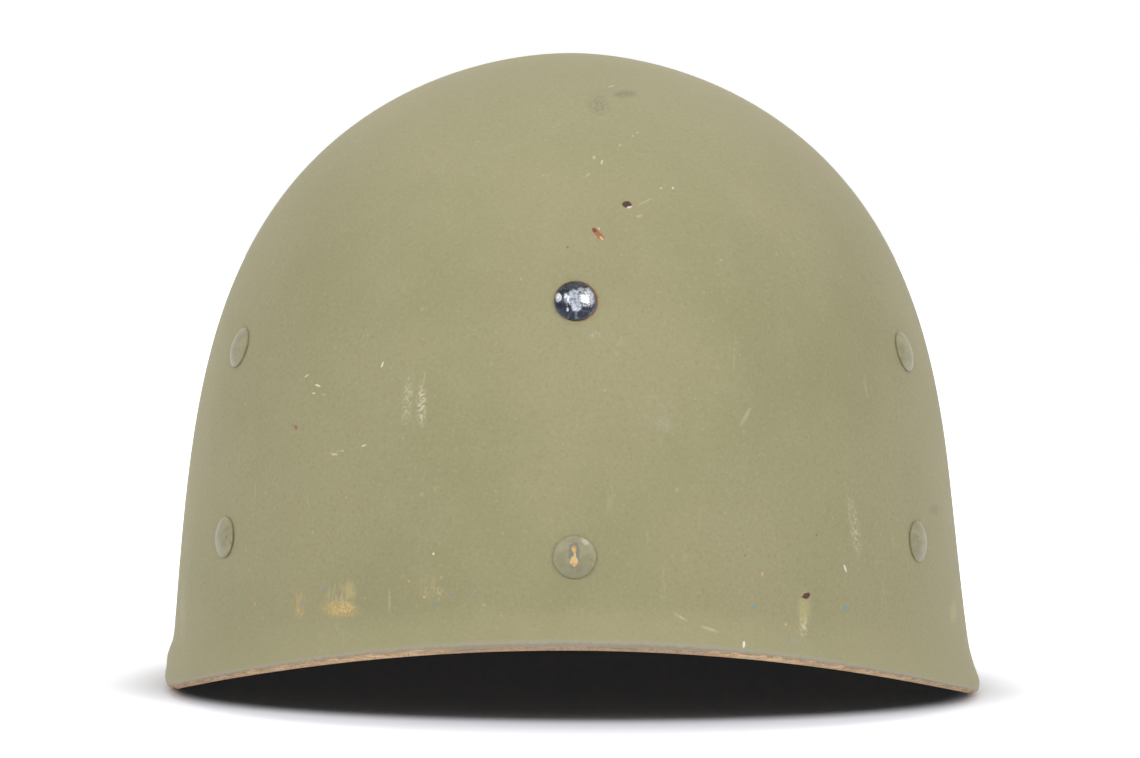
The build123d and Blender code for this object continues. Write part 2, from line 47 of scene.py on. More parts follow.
# Camera: where it stands, in mm and degrees, and which pixel of the picture its aim falls on

camera_distance = 1854
camera_elevation = 2.7
camera_turn = -0.73
camera_roll = 0.39
aim_height = 89
pixels_per_mm = 3.563
photo_width = 1140
photo_middle = (570, 379)
aim_pixel = (569.7, 370.4)
sensor_width = 36

# The oval of floor under the shell that is given no glow: a painted shadow, where no light reaches in under the brow

shadow_width = 236
shadow_front = 95
shadow_back = 137

# Shell, as in the CAD

shell_width = 228.4
shell_length = 272.0
shell_height = 178.0
wall = 2.2
rim_lift = 0.3
brow_rise = 23.8
brow_power = 1.6
brow_fade_power = 3.0
side_flare = 2.7
front_flare = 7.0
rear_flare = 5.0
flare_height = 15.0
wall_taper = 0.11
dome_power = 4
dome_root = 0.53

# Webbing, as in the CAD

web = 1.4
side_rivet_angle = 60.0
suspension_height = 46.0
headband_depth = 4.0
headband_height = 32.0
headband_flat = 31.5
headband_bend = 9.0
strap_depth = 5.5
strap_width = 25.0
crown_height = 140.0
crown_loop_distance = 24.0
lace_width = 3.0


# Small helpers


def only(piece):
    """Selects one piece and makes it active."""
    bpy.ops.object.select_all(action="DESELECT")
    piece.select_set(True)
    bpy.context.view_layer.objects.active = piece


def modify(piece, kind, **settings):
    """Applies one modifier to a piece."""
    modifier = piece.modifiers.new(kind, kind)
    for name, value in settings.items():
        setattr(modifier, name, value)
    only(piece)
    bpy.ops.object.modifier_apply(modifier=kind)


def place_object(name, data):
    """A new object in the scene."""
    made = bpy.data.objects.new(name, data)
    bpy.context.collection.objects.link(made)
    return made


def finish_piece(piece, name, finish, smooth):
    """Names a piece, smooths it, gives it the material of its finish, which is a material and a slot name, and lets it
    ride.
    """
    only(piece)
    bpy.ops.object.transform_apply(location=True, rotation=True, scale=True)
    bpy.ops.object.shade_smooth_by_angle(angle=math.radians(smooth))
    piece.name = name
    piece.data.name = name
    material, slot = finish
    piece.data.materials.clear()
    piece.data.materials.append(material)
    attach(piece, "liner")
    return piece


def grid_piece(columns, rows, place, length=1.0, width=1.0):
    """A grid laid on a surface: place(u, v) gives a point in mm for u along it and v across it, both 0 to 1.
    The UV map holds the distance along and across in mm, for patterns that follow the piece."""
    bpy.ops.object.select_all(action="DESELECT")
    bpy.ops.mesh.primitive_grid_add(x_subdivisions=columns, y_subdivisions=rows, size=1)
    piece = bpy.context.object
    mesh = piece.data
    shares = [(vertex.co.x + 0.5, vertex.co.y + 0.5) for vertex in mesh.vertices]
    layer = mesh.uv_layers.active or mesh.uv_layers.new(name="UVMap")
    for loop in mesh.loops:
        u, v = shares[loop.vertex_index]
        layer.data[loop.index].uv = (u * length, v * width)
    for vertex, (u, v) in zip(mesh.vertices, shares):
        vertex.co = Vector(place(u, v)) * MM
    mesh.update()
    return piece


def merge_doubles(piece):
    only(piece)
    bpy.ops.object.mode_set(mode="EDIT")
    bpy.ops.mesh.select_all(action="SELECT")
    bpy.ops.mesh.remove_doubles(threshold=0.00001)
    bpy.ops.mesh.normals_make_consistent(inside=False)
    bpy.ops.object.mode_set(mode="OBJECT")


# Shape of the shell, as in the CAD


def reach_share(share):
    """How much of its half width and length the dome keeps at a share of its height."""
    return (1 - wall_taper * share) * max(0, 1 - share**dome_power) ** dome_root


def cut_height(angle):
    """Height of the cut edge over the ground at an ellipse angle."""
    return rim_lift + brow_rise * max(0, math.cos(math.radians(angle))) ** brow_power


def dome_point(share, angle):
    side = math.sin(math.radians(angle))
    forward = math.cos(math.radians(angle))
    flare = front_flare if forward > 0 else rear_flare
    flare_share = max(0, 1 - share * shell_height / flare_height) ** 2
    half_width = (shell_width / 2 - side_flare) * reach_share(share) + side_flare * flare_share
    half_length = (shell_length / 2 - flare) * reach_share(share) + flare * flare_share
    rise = brow_rise * max(0, forward) ** brow_power * (1 - share) ** brow_fade_power
    height = rim_lift + (shell_height - rim_lift) * share + rise
    return Vector((half_width * side, -half_length * forward, height))


def dome_normal(share, angle):
    step = 0.001
    turn = math.degrees(step)
    along = dome_point(share, angle + turn) - dome_point(share, angle - turn)
    up = dome_point(share + step, angle) - dome_point(share - step, angle)
    return along.cross(up).normalized()


def share_at(height, angle):
    low, high = 0.0, 1.0
    while high - low > 0.000001:
        middle = (low + high) / 2
        if dome_point(middle, angle).z < height:
            low = middle
        else:
            high = middle
    return low


def wall_place(height, angle):
    """A place on the wall: its point, and the level, up and outward directions."""
    share = share_at(height, angle)
    outward = dome_normal(share, angle)
    level = UP.cross(outward).normalized()
    return dome_point(share, angle), level, outward.cross(level), outward


def at_height(place, height, along, depth):
    """A point on a wall place's sheet, along it and depth inside it, at a height above the ground."""
    point, level, up, outward = place
    climb = (height - point.z + outward.z * depth) / up.z
    return point + level * along - outward * depth + up * climb


# Materials


class Value:
    """A number, colour or place worked out in a shader. Sums, differences and products of it add their own nodes."""

    def __init__(self, socket):
        self.socket = socket
        self.tree = socket.id_data

    def __add__(self, other):
        return calculate("ADD", self, other)

    def __sub__(self, other):
        return calculate("SUBTRACT", self, other)

    def __rsub__(self, other):
        return calculate("SUBTRACT", other, self)

    def __mul__(self, other):
        return calculate("MULTIPLY", self, other)


def linear(hex_colour):
    """A six-digit sRGB hex colour as linear red, green, blue and alpha."""
    parts = [int(hex_colour[start : start + 2], 16) / 255 for start in (0, 2, 4)]
    return [part / 12.92 if part <= 0.04045 else ((part + 0.055) / 1.055) ** 2.4 for part in parts] + [1.0]


def wire(node, inputs):
    """Links or sets a shader node's inputs. A string is a hex colour."""
    for name, value in inputs.items():
        if isinstance(value, Value):
            value.tree.links.new(value.socket, node.inputs[name])
        else:
            node.inputs[name].default_value = linear(value) if isinstance(value, str) else value


def add(tree, kind, inputs=None, output=0, **settings):
    """Adds one shader node with its settings and inputs, and gives one of its outputs."""
    made = tree.nodes.new("ShaderNode" + kind)
    for name, value in settings.items():
        setattr(made, name, value)
    wire(made, inputs or {})
    return Value(made.outputs[output])


def calculate(operation, first, second=0.0, clamp=False):
    tree = (first if isinstance(first, Value) else second).tree
    return add(tree, "Math", {0: first, 1: second}, operation=operation, use_clamp=clamp)


def spread(value, low, high, to_low=0.0, to_high=1.0):
    """A value carried smoothly from one range to another and held at the ends."""
    inputs = {"Value": value, "From Min": low, "From Max": high, "To Min": to_low, "To Max": to_high}
    return add(value.tree, "MapRange", inputs, interpolation_type="SMOOTHSTEP")


def tint(share, under, over):
    """Lays one colour over another by a share."""
    return add(share.tree, "Mix", {0: share, 6: under, 7: over}, 2, data_type="RGBA")


def speckle(place, size, detail=2.0, roughness=0.5):
    """Noise whose grains are about size mm across, from 0 to 1."""
    inputs = {"Vector": place, "Scale": 1000.0 / size, "Detail": detail, "Roughness": roughness}
    return add(place.tree, "TexNoise", inputs, "Fac")


def mottle(place, size, low, high, under, over, most=1, detail=2, roughness=0.5):
    """Lays one colour over another in the patches of a noise."""
    return tint(spread(speckle(place, size, detail, roughness), low, high, 0, most), under, over)


def drawn_out(place, level, upright):
    """A place that draws patterns out: the scales are under 1 along the axes that they are drawn out on."""
    return add(place.tree, "Mapping", {"Vector": place, "Scale": (level, level, upright)})


def ripple(value, pitch):
    """A wave along a value, from -1 to 1, with one turn to each pitch."""
    return calculate("SINE", value * (2 * math.pi / pitch))


def axes_of(place):
    """A place's x, y and z."""
    x = add(place.tree, "SeparateXYZ", {"Vector": place})
    return [Value(socket) for socket in x.socket.node.outputs]


def along_and_across(place):
    """How far a point of a strip lies along it and across it, in mm."""
    return axes_of(add(place.tree, "UVMap"))[:2]


def height_above_cut(place):
    """How far a point of the shell lies over the brow's cut, in mm."""
    return add(place.tree, "Attribute", None, "Fac", attribute_name="above_cut")


def dent(height, depth, normal=None):
    """A bump of a real depth in mm."""
    inputs = {"Height": height, "Distance": depth * MM, "Strength": 1.0}
    if normal is not None:
        inputs["Normal"] = normal
    return add(height.tree, "Bump", inputs)


def front_face(place, near=0.0, far=-0.010):
    """A place's x and z, for marks on the front. Behind the front, y is pushed away from every mark."""
    x, y, z = axes_of(place)
    return add(place.tree, "CombineXYZ", {"X": x, "Y": spread(y, far, near, 0.0, 5.0), "Z": z})


def span(face, x, z, half_width, half_height, tilt=0):
    """Distance from a mark's centre, as a share of its half sizes in mm. Its tilt is in degrees."""
    inputs = {
        "Vector": face,
        "Location": (x * MM, 0, z * MM),
        "Rotation": (0, -math.radians(tilt), 0),
        "Scale": (half_width * MM, 1, half_height * MM),
    }
    turned = add(face.tree, "Mapping", inputs, vector_type="TEXTURE")
    return add(face.tree, "VectorMath", {0: turned}, "Value", operation="LENGTH")


def spot(face, x, z, half_width, half_height, tilt=0, torn=None, ragged=0.0, soften=0.16):
    """A mask for one chip or fleck: 1 inside, with a crisp edge that noise can break up."""
    distance = span(face, x, z, half_width, half_height, tilt)
    if torn is not None and ragged > 0:
        distance = distance + torn * ragged
    return spread(distance, 1.0 + soften, 1.0 - soften)


def make_material(finish, *words):
    """A material named after its finish: a function that gives the shader's inputs for a place on the part."""
    material = bpy.data.materials.new("_".join((finish.__name__, *words)))
    material.use_nodes = True
    tree = material.node_tree
    wire(tree.nodes["Principled BSDF"], finish(add(tree, "TexCoord", None, "Object"), *words))
    return material


# The marks on the olive paint are those of long storage, each at its own place.
paint_chips = [
    # x, z, half width, half height, tilt, ragged, colour, strength
    (13.8, 137.7, 1.23, 0.85, -8, 0.5, "4A2824", 0.95),
    (14.4, 137, 0.69, 0.27, 12, 0, "E6E2D8", 0.85),
    (15.9, 138.5, 0.85, 0.24, -25, 0.3, "BE8A60", 0.75),
    (17.1, 134.7, 0.93, 0.4, 15, 0.8, "BDB3A2", 0.6),
    (6, 130, 2.07, 0.74, -47, 0.7, "A8643F", 0.9),
    (5.1, 130.9, 0.69, 0.48, -30, 0.4, "6E3B2A", 0.85),
    (6.9, 128.9, 0.69, 0.29, -45, 0.4, "E3BFA4", 0.85),
    (6.3, 131.4, 0.21, 0.32, 0, 0, "DDD0BC", 0.7),
    (-74.3, 77.3, 0.4, 0.59, 20, 0.3, "96564C", 0.75),
    (-75.1, 77.7, 0.64, 0.21, -15, 0.3, "A07060", 0.45),
    (61.8, 34.5, 0.95, 0.77, 10, 1, "54302A", 0.95),
    (61.1, 34.2, 0.74, 0.24, 0, 0.4, "54302A", 0.8),
    (72.7, 41, 0.24, 1.12, 20, 0, "EFEBDD", 0.95),
    (44.7, 23, 0.34, 0.84, -8, 0.2, "F2EEDF", 0.95),
    (-2.1, 126.5, 0.32, 0.32, 0, 0, "726E52", 0.7),
    (45.1, 45.8, 0.26, 0.32, 0, 0, "7A755C", 0.7),
    (64.6, 50.3, 0.27, 0.32, 0, 0, "6F6B52", 0.6),
    (49.8, 40.8, 0.32, 0.53, 0, 0, "D9AE7A", 0.85),
    (47.1, 34.6, 0.26, 0.37, 0, 0, "C9A070", 0.6),
    (54.5, 33.9, 0.29, 0.32, 0, 0, "C9A070", 0.6),
    (56.2, 27.3, 0.34, 0.4, 0, 0, "D8B488", 0.7),
    (-37, 46.1, 0.32, 0.37, 0, 0, "F0D8A0", 0.9),
    (-43.4, 38.7, 0.32, 0.34, 0, 0, "DFA850", 0.85),
    (-39.4, 34.7, 0.32, 0.37, 0, 0, "DDB084", 0.75),
    (-85.2, 29.4, 0.3, 0.48, 0, 0, "D6A878", 0.7),
    (47.6, 32.3, 0.37, 0.42, 0, 0, "5F9CCB", 0.85),
    (72.8, 30.6, 0.32, 0.69, 0, 0, "62A2D0", 0.9),
    (-72.1, 31.1, 0.24, 0.53, 0, 0, "5F9CCB", 0.8),
    (-65.9, 35, 0.24, 0.53, 0, 0, "5F9CCB", 0.75),
    (-36.5, 33.3, 0.24, 0.53, 0, 0, "5F9CCB", 0.8),
    (-32.6, 35, 0.24, 0.47, 0, 0, "6FA2C4", 0.7),
    (-28.1, 36.4, 0.24, 0.47, 0, 0, "6FA2C4", 0.7),
    (-51, 95, 0.24, 0.85, -20, 0, "E6E2CC", 0.8),
    (-71.5, 91.1, 0.75, 0.21, 38, 0, "DAD6B8", 0.75),
    (-68.4, 88.7, 0.75, 0.24, -14, 0, "F0ECD8", 0.9),
    (-69.5, 86.6, 0.43, 0.21, 0, 0, "E8E4CE", 0.85),
    (-66.7, 86.4, 0.35, 0.21, 0, 0, "D0CCAE", 0.6),
    (-63.7, 70.9, 0.9, 0.29, 5, 0.5, "D2CCB0", 0.8),
    (-61.5, 71.9, 0.45, 0.21, 15, 0.3, "D2CCB0", 0.6),
    (-55.8, 73.6, 0.74, 0.24, 22, 0.4, "DAD5BA", 0.8),
    (10.3, 169, 0.98, 0.22, 16, 0.3, "C9C4A4", 0.6),
    (5.1, 150, 0.4, 0.51, 0, 0.3, "C8C3A0", 0.7),
    (7.2, 148.8, 0.32, 0.64, -15, 0.3, "D0CCAE", 0.8),
    (3.4, 145.4, 0.69, 0.29, 40, 0.3, "C4BF9E", 0.5),
    (15.7, 155.7, 0.3, 0.24, 0, 0, "CCC8A8", 0.6),
    (17, 156.6, 0.3, 0.24, 0, 0, "CCC8A8", 0.6),
    (12.2, 153.3, 0.54, 0.24, 40, 0, "C8C4A2", 0.5),
    (23, 142, 0.37, 0.29, 0, 0, "D0CCB4", 0.6),
    (26.2, 142, 0.29, 0.29, 0, 0, "E4E2D4", 0.85),
    (18.8, 138.5, 2, 0.13, 25, 0.2, "C8C2A0", 0.55),
]
paint_rubs = [
    # x, z, half width, half height, tilt, grain, colour, strength
    (13.9, 166.9, 4.09, 1.23, 3, "cloud", "7A766A", 0.75),
    (6.4, 163.9, 3.53, 3.26, 10, "dots", "7C7867", 0.75),
    (-61.7, 72, 7.44, 0.21, 14.5, "dots", "C4BEA0", 0.55),
    (-79.7, 55.6, 3.14, 0.21, 46, "cloud", "B8AE8C", 0.45),
    (-40.2, 61.6, 0.79, 0.79, 0, "cloud", "C0B998", 0.55),
    (-44.1, 86.5, 1.59, 7.93, -5, "dots", "CCC6A4", 0.7),
    (-40.5, 84.8, 1.58, 6.07, 0, "dots", "DCD3B8", 0.95),
    (-39.8, 91.9, 0.24, 2.11, -8, "cloud", "CDC6A2", 0.6),
    (75.2, 52.3, 1.74, 9.63, 10, "dots", "D0CAA4", 0.8),
    (45.2, 82.1, 0.69, 3.17, -29, "cloud", "C6C0A2", 0.7),
    (42.4, 99.6, 0.53, 6.89, -4, "streaks", "BCB594", 0.55),
    (27.9, 30.3, 2.49, 0.42, -31, "cloud", "CEC8A8", 0.7),
    (35.6, 27.1, 3.02, 0.47, -19, "cloud", "CFCAAC", 0.7),
    (11.7, 101.2, 1.05, 3.95, -20, "streaks", "B5B09C", 0.55),
    (5.2, 103.7, 1.84, 1.32, 15, "dots", "B8B4A2", 0.6),
    (22.3, 83.7, 5.26, 6.31, 0, "dots", "ABA488", 0.5),
    (23.1, 80.6, 3.16, 2.1, -20, "cloud", "B4AF96", 0.45),
    (-61.8, 30.3, 5.83, 2.78, 0, "cloud", "CBB06E", 1),
    (-61.5, 30.6, 5.03, 2.38, 0, "dots", "E2C48C", 0.85),
    (-61.8, 34.3, 4.77, 3.97, 0, "streaks", "C2B68E", 0.9),
    (-59.3, 35.4, 2, 3.2, 0, "cloud", "C6B47E", 0.75),
    (-72.7, 30.8, 2.13, 4.8, 0, "streaks", "C4AC76", 0.9),
    (-72.9, 28.4, 1.33, 1.87, 0, "dots", "CDB27A", 0.7),
    (-37.9, 37.4, 3.42, 4.21, 0, "streaks", "BFAA7C", 0.8),
    (-36, 35.6, 3.15, 2.36, 0, "dots", "C6B48A", 0.6),
    (-48.6, 33.5, 0.37, 3.95, 0, "cloud", "C4BE9E", 0.6),
    (61.3, 31.6, 2.2, 5.6, 0, "cloud", "C0B984", 0.85),
    (60.9, 27.7, 1.19, 3.98, 0, "streaks", "D4C494", 0.9),
    (61.1, 26.4, 1.3, 3.2, 0, "dots", "DCD2AE", 0.75),
    (57.8, 22.6, 2.38, 1.59, 20, "streaks", "97A2A4", 0.75),
    (105.7, 24.6, 1.5, 3.6, 0, "cloud", "C2B988", 0.8),
    (84, 32.4, 1.34, 8.07, 0, "streaks", "B4AF94", 0.6),
    (86.6, 47, 0.81, 2.43, 0, "cloud", "B4AF94", 0.45),
    (99.5, 53.6, 2.19, 1.92, 0, "cloud", "7C7862", 0.5),
    (-106.8, 22.2, 1.38, 9.39, 0, "streaks", "C9C2AC", 0.7),
    (5.2, 103.7, 2, 1.2, 15, "dots", "B5B1A0", 0.55),
    (22.3, 83.7, 5.5, 7, 0, "dots", "A8A183", 0.4),
]


# The paint is one finish in three level bands, so that each band's shader holds only its own marks.
paint_bands = {"low": (-10.0, 45.0), "middle": (45.0, 95.0), "high": (95.0, 200.0)}


def olive_drab_paint(place, band):
    """Olive drab, sprayed over pressed cotton phenolic: dead matt, dusty, with a fine orange peel and a faint sheen
    at a low angle."""
    floor_of_band, top_of_band = paint_bands[band]

    def in_band(mark):
        reach = 1.5 * max(mark[2], mark[3]) + 1.0
        return floor_of_band < mark[1] + reach and mark[1] - reach < top_of_band

    # Broad shifts of tone, 60 mm and 14 mm across.
    colour = mottle(place, 60, 0.35, 0.65, "9C9771", "A39D78", detail=3)
    colour = mottle(place, 14, 0.45, 0.8, colour, "A9A380", 0.30, 4, 0.6)
    # The sprayed grain, 0.9 mm, and coarse dust, both drawn a little coarser than real.
    grain = speckle(place, 0.9, detail=2, roughness=0.7)
    colour = tint(spread(grain, 0.52, 0.75, 0, 0.40), colour, "8C8763")
    colour = tint(spread(grain, 0.46, 0.25, 0, 0.35), colour, "B4AE8B")
    colour = mottle(place, 1.7, 0.74, 0.82, colour, "C4BE9C", 0.40, 1)
    # The paint is painted lighter in a band above the brow, a painted highlight where the flare turns up to the light,
    # and it is lighter on the crown too.
    up = axes_of(place)[2]
    colour = tint(spread(up, 0.034, 0.020) * 0.25, colour, "AEA783")
    colour = tint(spread(up, 0.105, 0.160) * 0.22, colour, "ACA583")
    # Faint upright rubs, in patches.
    rubs = speckle(drawn_out(place, 1.0, 0.12), 3.0, detail=3, roughness=0.65)
    rub_zone = speckle(place, 45, detail=1)
    colour = tint(spread(rubs, 0.62, 0.80) * spread(rub_zone, 0.50, 0.66, 0, 0.55), colour, "B9B293")
    # The marks, on the front only: soft rubs made of dots and streaks, then crisp chips and flecks.
    face = front_face(place)
    torn = speckle(place, 1.3, detail=3, roughness=0.7) - 0.5
    dots = spread(speckle(place, 0.8, detail=3, roughness=0.7), 0.45, 0.62)
    streaks = spread(speckle(drawn_out(place, 1.0, 0.14), 0.7, detail=3, roughness=0.6), 0.44, 0.60)
    cloud = dots * 0.45 + 0.50
    grains = {"dots": dots, "streaks": streaks * cloud, "cloud": cloud}
    for *outline, kind, shade, strength in filter(in_band, paint_rubs):
        fade = spread(span(face, *outline), 1.15, 0.25, 0.0, strength)
        colour = tint(fade * grains[kind], colour, shade)
    # A thin line of rust round the upper right of the stud, where it has crept on to the paint.
    rust = spot(face, 0.28, 112.45, 5.75, 5.20, 0, torn, 0.22, 0.03)
    colour = tint(rust * 0.8, colour, "A0634A")
    chipped = None
    for *outline, ragged, shade, strength in filter(in_band, paint_chips):
        mask = spot(face, *outline, torn, ragged * 1.6)
        colour = tint(mask * strength, colour, shade)
        if strength > 0.9:
            chipped = mask if chipped is None else calculate("MAXIMUM", chipped, mask)
    # Close to the cut edge the film is thin and greyer.
    worn = height_above_cut(place) + torn * 1.6
    colour = tint(spread(worn, 1.5, 0.4, 0, 0.75), colour, "A5A190")
    colour = tint(spread(worn, 0.35, -0.05, 0, 0.9), colour, "A98468")
    peel = dent(speckle(place, 6, detail=2), 0.05, dent(grain, 0.035))
    if chipped is not None:
        peel = dent(1.0 - chipped, 0.08, peel)
    return {
        "Base Color": colour,
        "Roughness": spread(grain, 0.2, 0.8, 0.62, 0.76),
        "Specular IOR Level": 0.32,
        "Sheen Weight": 0.22,
        "Sheen Roughness": 0.45,
        "Sheen Tint": "E6E0D0",
        "Normal": peel,
    }


def laminate_cut_edge(place):
    """Cotton phenolic laminate, sawn and worn bare: light golden brown, with the ends of its plies showing. The paint
    has run over the outer corner as a thin grey film, and over most of the edge at the middle of the brow."""
    x, _, up = axes_of(place)
    plies = speckle(drawn_out(place, 0.12, 1.0), 0.6, detail=3, roughness=0.6)
    colour = tint(spread(plies, 0.38, 0.64), "CCAA84", "ECCCA4")
    # The middle of the brow is darker from handling.
    sideways = spread(calculate("ABSOLUTE", x), 0.026, 0.046)
    colour = tint((1.0 - sideways) * 0.6, colour, "A48A70")
    flecks = speckle(place, 0.7, detail=2, roughness=0.7)
    colour = tint(spread(flecks, 0.58, 0.68, 0, 0.75), colour, "8C6A54")
    colour = tint(spread(flecks, 0.40, 0.30, 0, 0.65), colour, "F0DCC2")
    colour = mottle(place, 1.6, 0.62, 0.70, colour, "D29060", 0.7, 2, 0.6)
    # The film of paint ends at an uneven height on the edge, along a fine dark crack.
    smear = speckle(place, 4, detail=3)
    film = height_above_cut(place) + (smear - 0.5) * 1.1 - sideways * 0.55
    painted = spread(film, -0.95, -0.70) * spread(up, 0.002, 0.010, 0.3, 1.0)
    crack = spread(film, -1.15, -0.98) * spread(film, -0.80, -0.94) * spread(smear, 0.46, 0.56, 0, 0.55)
    colour = tint(painted * 0.85, colour, "A09E8C")
    colour = tint(crack, colour, "6A5444")
    return {"Base Color": colour, "Roughness": 0.72, "Normal": dent(plies, 0.12)}


def laminate_inner_face(place):
    """The pressed inner face: the duck cloth prints through the thin olive paint as a 1.1 mm plain weave."""
    along, across = along_and_across(place)
    weave = ripple(along, 1.1) * 0.25 + ripple(across, 1.1) * 0.25 + 0.5
    colour = mottle(place, 30, 0.35, 0.7, "6F6A48", "7D7652", 1, 4, 0.6)
    colour = tint(spread(weave, 0.25, 0.8, 0.35, 0), colour, "57482F")
    colour = mottle(place, 9, 0.62, 0.72, colour, "6B4A30", 0.6, 5, 0.7)
    return {"Base Color": colour, "Roughness": 0.66, "Normal": dent(weave, 0.12)}


def herringbone_cotton_webbing(place):
    """Herringbone cotton webbing: twill ribs 1.2 mm apart that turn back on each other every 5 mm."""
    along, across = along_and_across(place)
    rib = ripple(along + calculate("PINGPONG", across, 5.0), 1.7) * 0.5 + 0.5
    yarn = ripple(across, 0.8) * 0.5 + 0.5
    height = rib * 0.75 + yarn * 0.25
    colour = mottle(place, 22, 0.35, 0.7, "8E8660", "A39A74", 1, 4, 0.6)
    colour = tint(spread(height, 0.55, 0.1, 0, 0.65), colour, "5F5A3E")
    # Lint, then soil.
    colour = mottle(place, 0.8, 0.6, 0.75, colour, "BDB591", 0.4)
    colour = mottle(place, 12, 0.60, 0.75, colour, "6A5F44", 0.35, 3)
    return {
        "Base Color": colour,
        "Roughness": 0.9,
        "Sheen Weight": 0.3,
        "Sheen Roughness": 0.6,
        "Specular IOR Level": 0.2,
        "Normal": dent(height, 0.28),
    }


def braided_cotton_lace(place):
    """Round braided cotton: strands cross at about 45 degrees, 1.1 mm apart."""
    along, round_it = along_and_across(place)
    height = calculate("MAXIMUM", ripple(along + round_it, 1.57), ripple(along - round_it, 1.57)) * 0.5 + 0.5
    colour = tint(spread(height, 0.9, 0.3, 0, 0.7), "B3A983", "6A6346")
    colour = mottle(place, 8, 0.5, 0.7, colour, "8A8060", 0.4, 3)
    return {"Base Color": colour, "Roughness": 0.88, "Sheen Weight": 0.25, "Normal": dent(height, 0.25)}


def waxed_sewing_thread(place):
    """Waxed cotton thread, a little paler than the webbing."""
    return {"Base Color": mottle(place, 0.5, 0.35, 0.65, "A79C74", "C9C09B", 1, 1), "Roughness": 0.7}


def brown_sheepskin_leather(place):
    """Vegetable tanned sheepskin, worn smooth: pebbled grain 1 mm across, dark where it has been sweated in."""
    grain = add(place.tree, "TexVoronoi", {"Vector": place, "Scale": 1000 / 1.1}, feature="DISTANCE_TO_EDGE")
    pebble = spread(grain, 0.0, 0.22)
    colour = mottle(place, 26, 0.3, 0.7, "6A4228", "8A5A38", 1, 4, 0.6)
    colour = tint(spread(pebble, 0.9, 0.1, 0, 0.55), colour, "3F2616")
    colour = mottle(place, 7, 0.58, 0.75, colour, "A87A54", 0.4, 3)
    return {"Base Color": colour, "Roughness": spread(pebble, 0, 1, 0.62, 0.44), "Normal": dent(pebble, 0.10)}


def olive_painted_brass(place):
    """Rivets spun from brass and painted with the shell: dull olive, brass where the paint has rubbed through."""
    face = front_face(place, -0.10, -0.12)
    tone = speckle(place, 3.0, detail=3)
    colour = tint(spread(tone, 0.35, 0.7), "908C6C", "A09B7A")
    colour = mottle(place, 1.2, 0.6, 0.75, colour, "6F6A50", 0.55)
    bare = spread(speckle(place, 1.8, detail=4, roughness=0.65), 0.66, 0.71)
    # The front rivet: its face is painted darker towards the lower edge as shade, and an upright groove is rubbed into
    # it.
    torn = speckle(place, 1.0, detail=2) - 0.5
    shade = spot(face, 0.0, 39.6, 6.5, 4.6, soften=0.6)
    colour = tint(shade * 0.35, colour, "77735C")
    rim = spot(face, -0.1, 46.8, 1.45, 3.3, 0, torn, 1.2)
    colour = tint(rim * 0.65, colour, "6E7074")
    colour = tint(bare, colour, "9C8350")
    upper = spot(face, -0.15, 48.2, 0.65, 1.0, 0, torn, 0.8)
    lower = spot(face, -0.20, 45.1, 1.05, 1.4, 0, torn, 0.8)
    neck = spot(face, 0.05, 46.8, 0.30, 1.2, 12, torn, 0.8)
    groove = calculate("MAXIMUM", calculate("MAXIMUM", upper, lower), neck)
    brass = tint(spread(tone, 0.42, 0.58), "B98F52", "D2B280")
    colour = tint(groove, colour, brass)
    worn = spot(face, 2.7, 50.1, 1.1, 0.6, -35, torn, 0.6, 0.4)
    colour = tint(worn * 0.55, colour, "C8C6B4")
    metal = calculate("MAXIMUM", groove * 0.45, bare * 0.6)
    return {
        "Base Color": colour,
        "Metallic": metal,
        "Roughness": spread(metal, 0, 1, 0.46, 0.40),
        "Sheen Weight": 0.25,
        "Sheen Roughness": 0.4,
        "Normal": dent(tone, 0.05, dent(1.0 - groove, 0.18)),
    }


# The pale patches on the stud's dark polish: painted reflections of the left and right lamps, a painted cloud of light
# between them, and a few pale scuffs and specks.
stud_highlights_and_scuffs = [
    # x, z, half width, half height, ragged, colour, strength
    (-0.5, 113.2, 2.4, 2.1, 1.8, "BCC3CC", 0.95),
    (-4.6, 113.5, 0.85, 1.2, 0.8, "EDEDF2", 1.00),
    (3.1, 113.5, 2.1, 2.2, 1.5, "D9DAE0", 0.97),
    (0.3, 111.2, 1.3, 1.2, 1.1, "C3CAD1", 0.92),
    (-2.1, 110.4, 0.30, 0.55, 0.3, "B4B9BF", 0.85),
    (0.1, 108.9, 0.35, 1.0, 0.4, "70747B", 0.70),
    (1.4, 115.6, 1.0, 0.6, 1.2, "9AA0A8", 0.80),
]


def scuffed_steel_stud(place):
    """The front stud: domed steel, dark with age under pale scuffs and painted reflections of the lamps, with a paler
    rim painted as a highlight, and rust creeping in at its edge.
    """
    face = front_face(place)
    scuffs = speckle(place, 1.2, detail=5, roughness=0.75)
    colour = tint(spread(scuffs, 0.50, 0.72), "30333A", "6C7077")
    torn = speckle(place, 1.4, detail=4, roughness=0.7) - 0.5
    lines = spread(speckle(place, 0.6, detail=3, roughness=0.7), 0.40, 0.58, 0.45, 1.0)
    # The painted reflections and the scuffs, broken up by fine lines.
    for *outline, ragged, shade, strength in stud_highlights_and_scuffs:
        mask = spot(face, *outline, 0, torn, ragged, 0.25)
        colour = tint(mask * lines * strength, colour, shade)
    # A paler grey ring round the stud's edge: a painted highlight along its rim.
    middle = spot(face, -0.15, 112.55, 5.30, 5.20, 0, torn, 0.15, 0.10)
    colour = tint((1.0 - middle) * 0.75, colour, "7C7C8A")
    rust = 1.0 - spot(face, -0.20, 112.10, 5.62, 5.42, 0, torn, 0.5, 0.05)
    colour = tint(rust * 0.75, colour, "5E4433")
    shine = spread(scuffs, 0.35, 0.75, 0.18, 0.40)
    return {
        "Base Color": colour,
        "Metallic": 1.0 - rust * 0.8,
        "Roughness": calculate("ADD", shine, rust * 0.35, clamp=True),
        "Normal": dent(scuffs, 0.03),
    }


